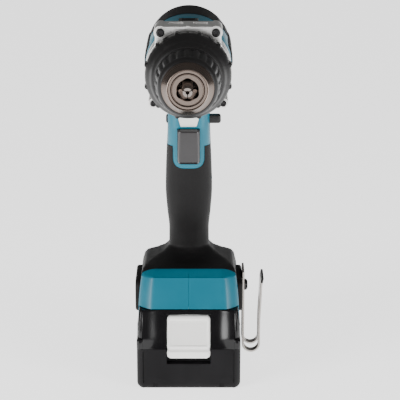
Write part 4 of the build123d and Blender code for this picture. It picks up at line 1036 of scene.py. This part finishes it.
head_x = leg_x + strip_half + 0.05
rows = []
for out, r in ((0.0, 4.3), (1.0, 4.3), (1.7, 4.0), (2.2, 3.4), (2.6, 2.5), (2.6, 1.75), (1.2, 1.65)):
    rows.append(np.column_stack([np.full(48, head_x + out), r * np.cos(turn(48)),
                                 hook_screw_z + r * np.sin(turn(48))]))
hook_screw = capped_piece("belt_hook_screw_head", np.stack(rows))
settle(hook_screw, "housing", screw_dark, ["belt_hook_screw"], sharp=35)

# ---- lamp --------------------------------------------------------------------------------
# The clear polycarbonate window of the work lamp, a trapezoid over a white reflector.
lens_clear = moulded("lamp_clear", (0.66, 0.68, 0.64), 0.12, grain=260, bump=0.3, wear=0.12, coat=0.8)
lens_shader = lens_clear.node_tree.nodes["Principled BSDF"]
lens_shader.inputs["Emission Color"].default_value = (1, 1, 0.95, 1)
lens_shader.inputs["Emission Strength"].default_value = 0.04
window = rounded([(-7.7, 193.1), (7.7, 193.1), (5.75, 186.3), (-5.75, 186.3)], 0.7)
middle = window.mean(axis=0)
rows = []
for y, size in ((-12.5, 1.0), (-17.6, 1.0), (-18.0, 0.97), (-18.2, 0.92), (-18.05, 0.80), (-17.9, 0.5)):
    loop = middle + (window - middle) * size
    rows.append(np.column_stack([loop[:, 0], np.full(len(loop), y), loop[:, 1]]))
lens = capped_piece("lamp_window", np.stack(rows))
settle(lens, "housing", lens_clear, ["lamp_lens"], sharp=30)

# ---- inner pieces and fasteners ----------------------------------------------------------
# Gears, motor, boards, cells and screws keep their own shapes and get their real finishes.
gear_steel = metal("gear_steel", (0.42, 0.41, 0.40), 0.35, bump=0.15, wear=0.12, grain=600)
jaw_steel = metal("jaw_steel", (0.27, 0.235, 0.215), 0.25, bump=0.15, wear=0.12, grain=500)
lamination = metal("lamination_steel", (0.25, 0.25, 0.26), 0.5, bump=0.3, wear=0.2, grain=1500)
copper = metal("copper_winding", (0.72, 0.30, 0.14), 0.35, bump=0.5, wear=0.2, grain=1400)
brass = metal("insert_brass", (0.72, 0.52, 0.24), 0.3, bump=0.2, wear=0.12)
board_green = moulded("board_green", (0.012, 0.075, 0.03), 0.4, grain=500, bump=0.1, wear=0.25)
cell_wrap = moulded("cell_wrap", (0.03, 0.13, 0.10), 0.35, grain=300, bump=0.05, wear=0.1)
inner_black = moulded("inner_nylon", (0.02, 0.02, 0.021), 0.5, grain=900, bump=0.15, wear=0.1)
planets = [f"planet_{stage}_{k}" for stage in (1, 2, 3) for k in (1, 2, 3)]
finishes = (
    (gear_steel, ["spindle", "carrier_1", "carrier_2", "rotor_shaft", "clutch_nut", "clutch_washer",
                  "clutch_pins", "clutch_spring", "bearings", "ring_gear_1", "ring_gear_2",
                  "ring_gear_3"] + planets),
    (jaw_steel, ["chuck_jaw_1", "chuck_jaw_2", "chuck_jaw_3", "chuck_nut", "terminal_blades"]),
    (lamination, ["stator_core", "rotor_core"]),
    (copper, ["stator_coils"]),
    (brass, ["hook_inserts"]),
    (board_green, ["sensor_board", "battery_board"]),
    (cell_wrap, ["battery_cells"]),
    (inner_black, ["fan", "switch_body", "controller_board", "terminal_block", "motor_plate"]),
    (screw_dark, ["housing_screws", "battery_screws", "chuck_screw"]))
for finish, names in finishes:
    for name in names:
        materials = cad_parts[name].data.materials
        materials.clear()
        materials.append(finish)
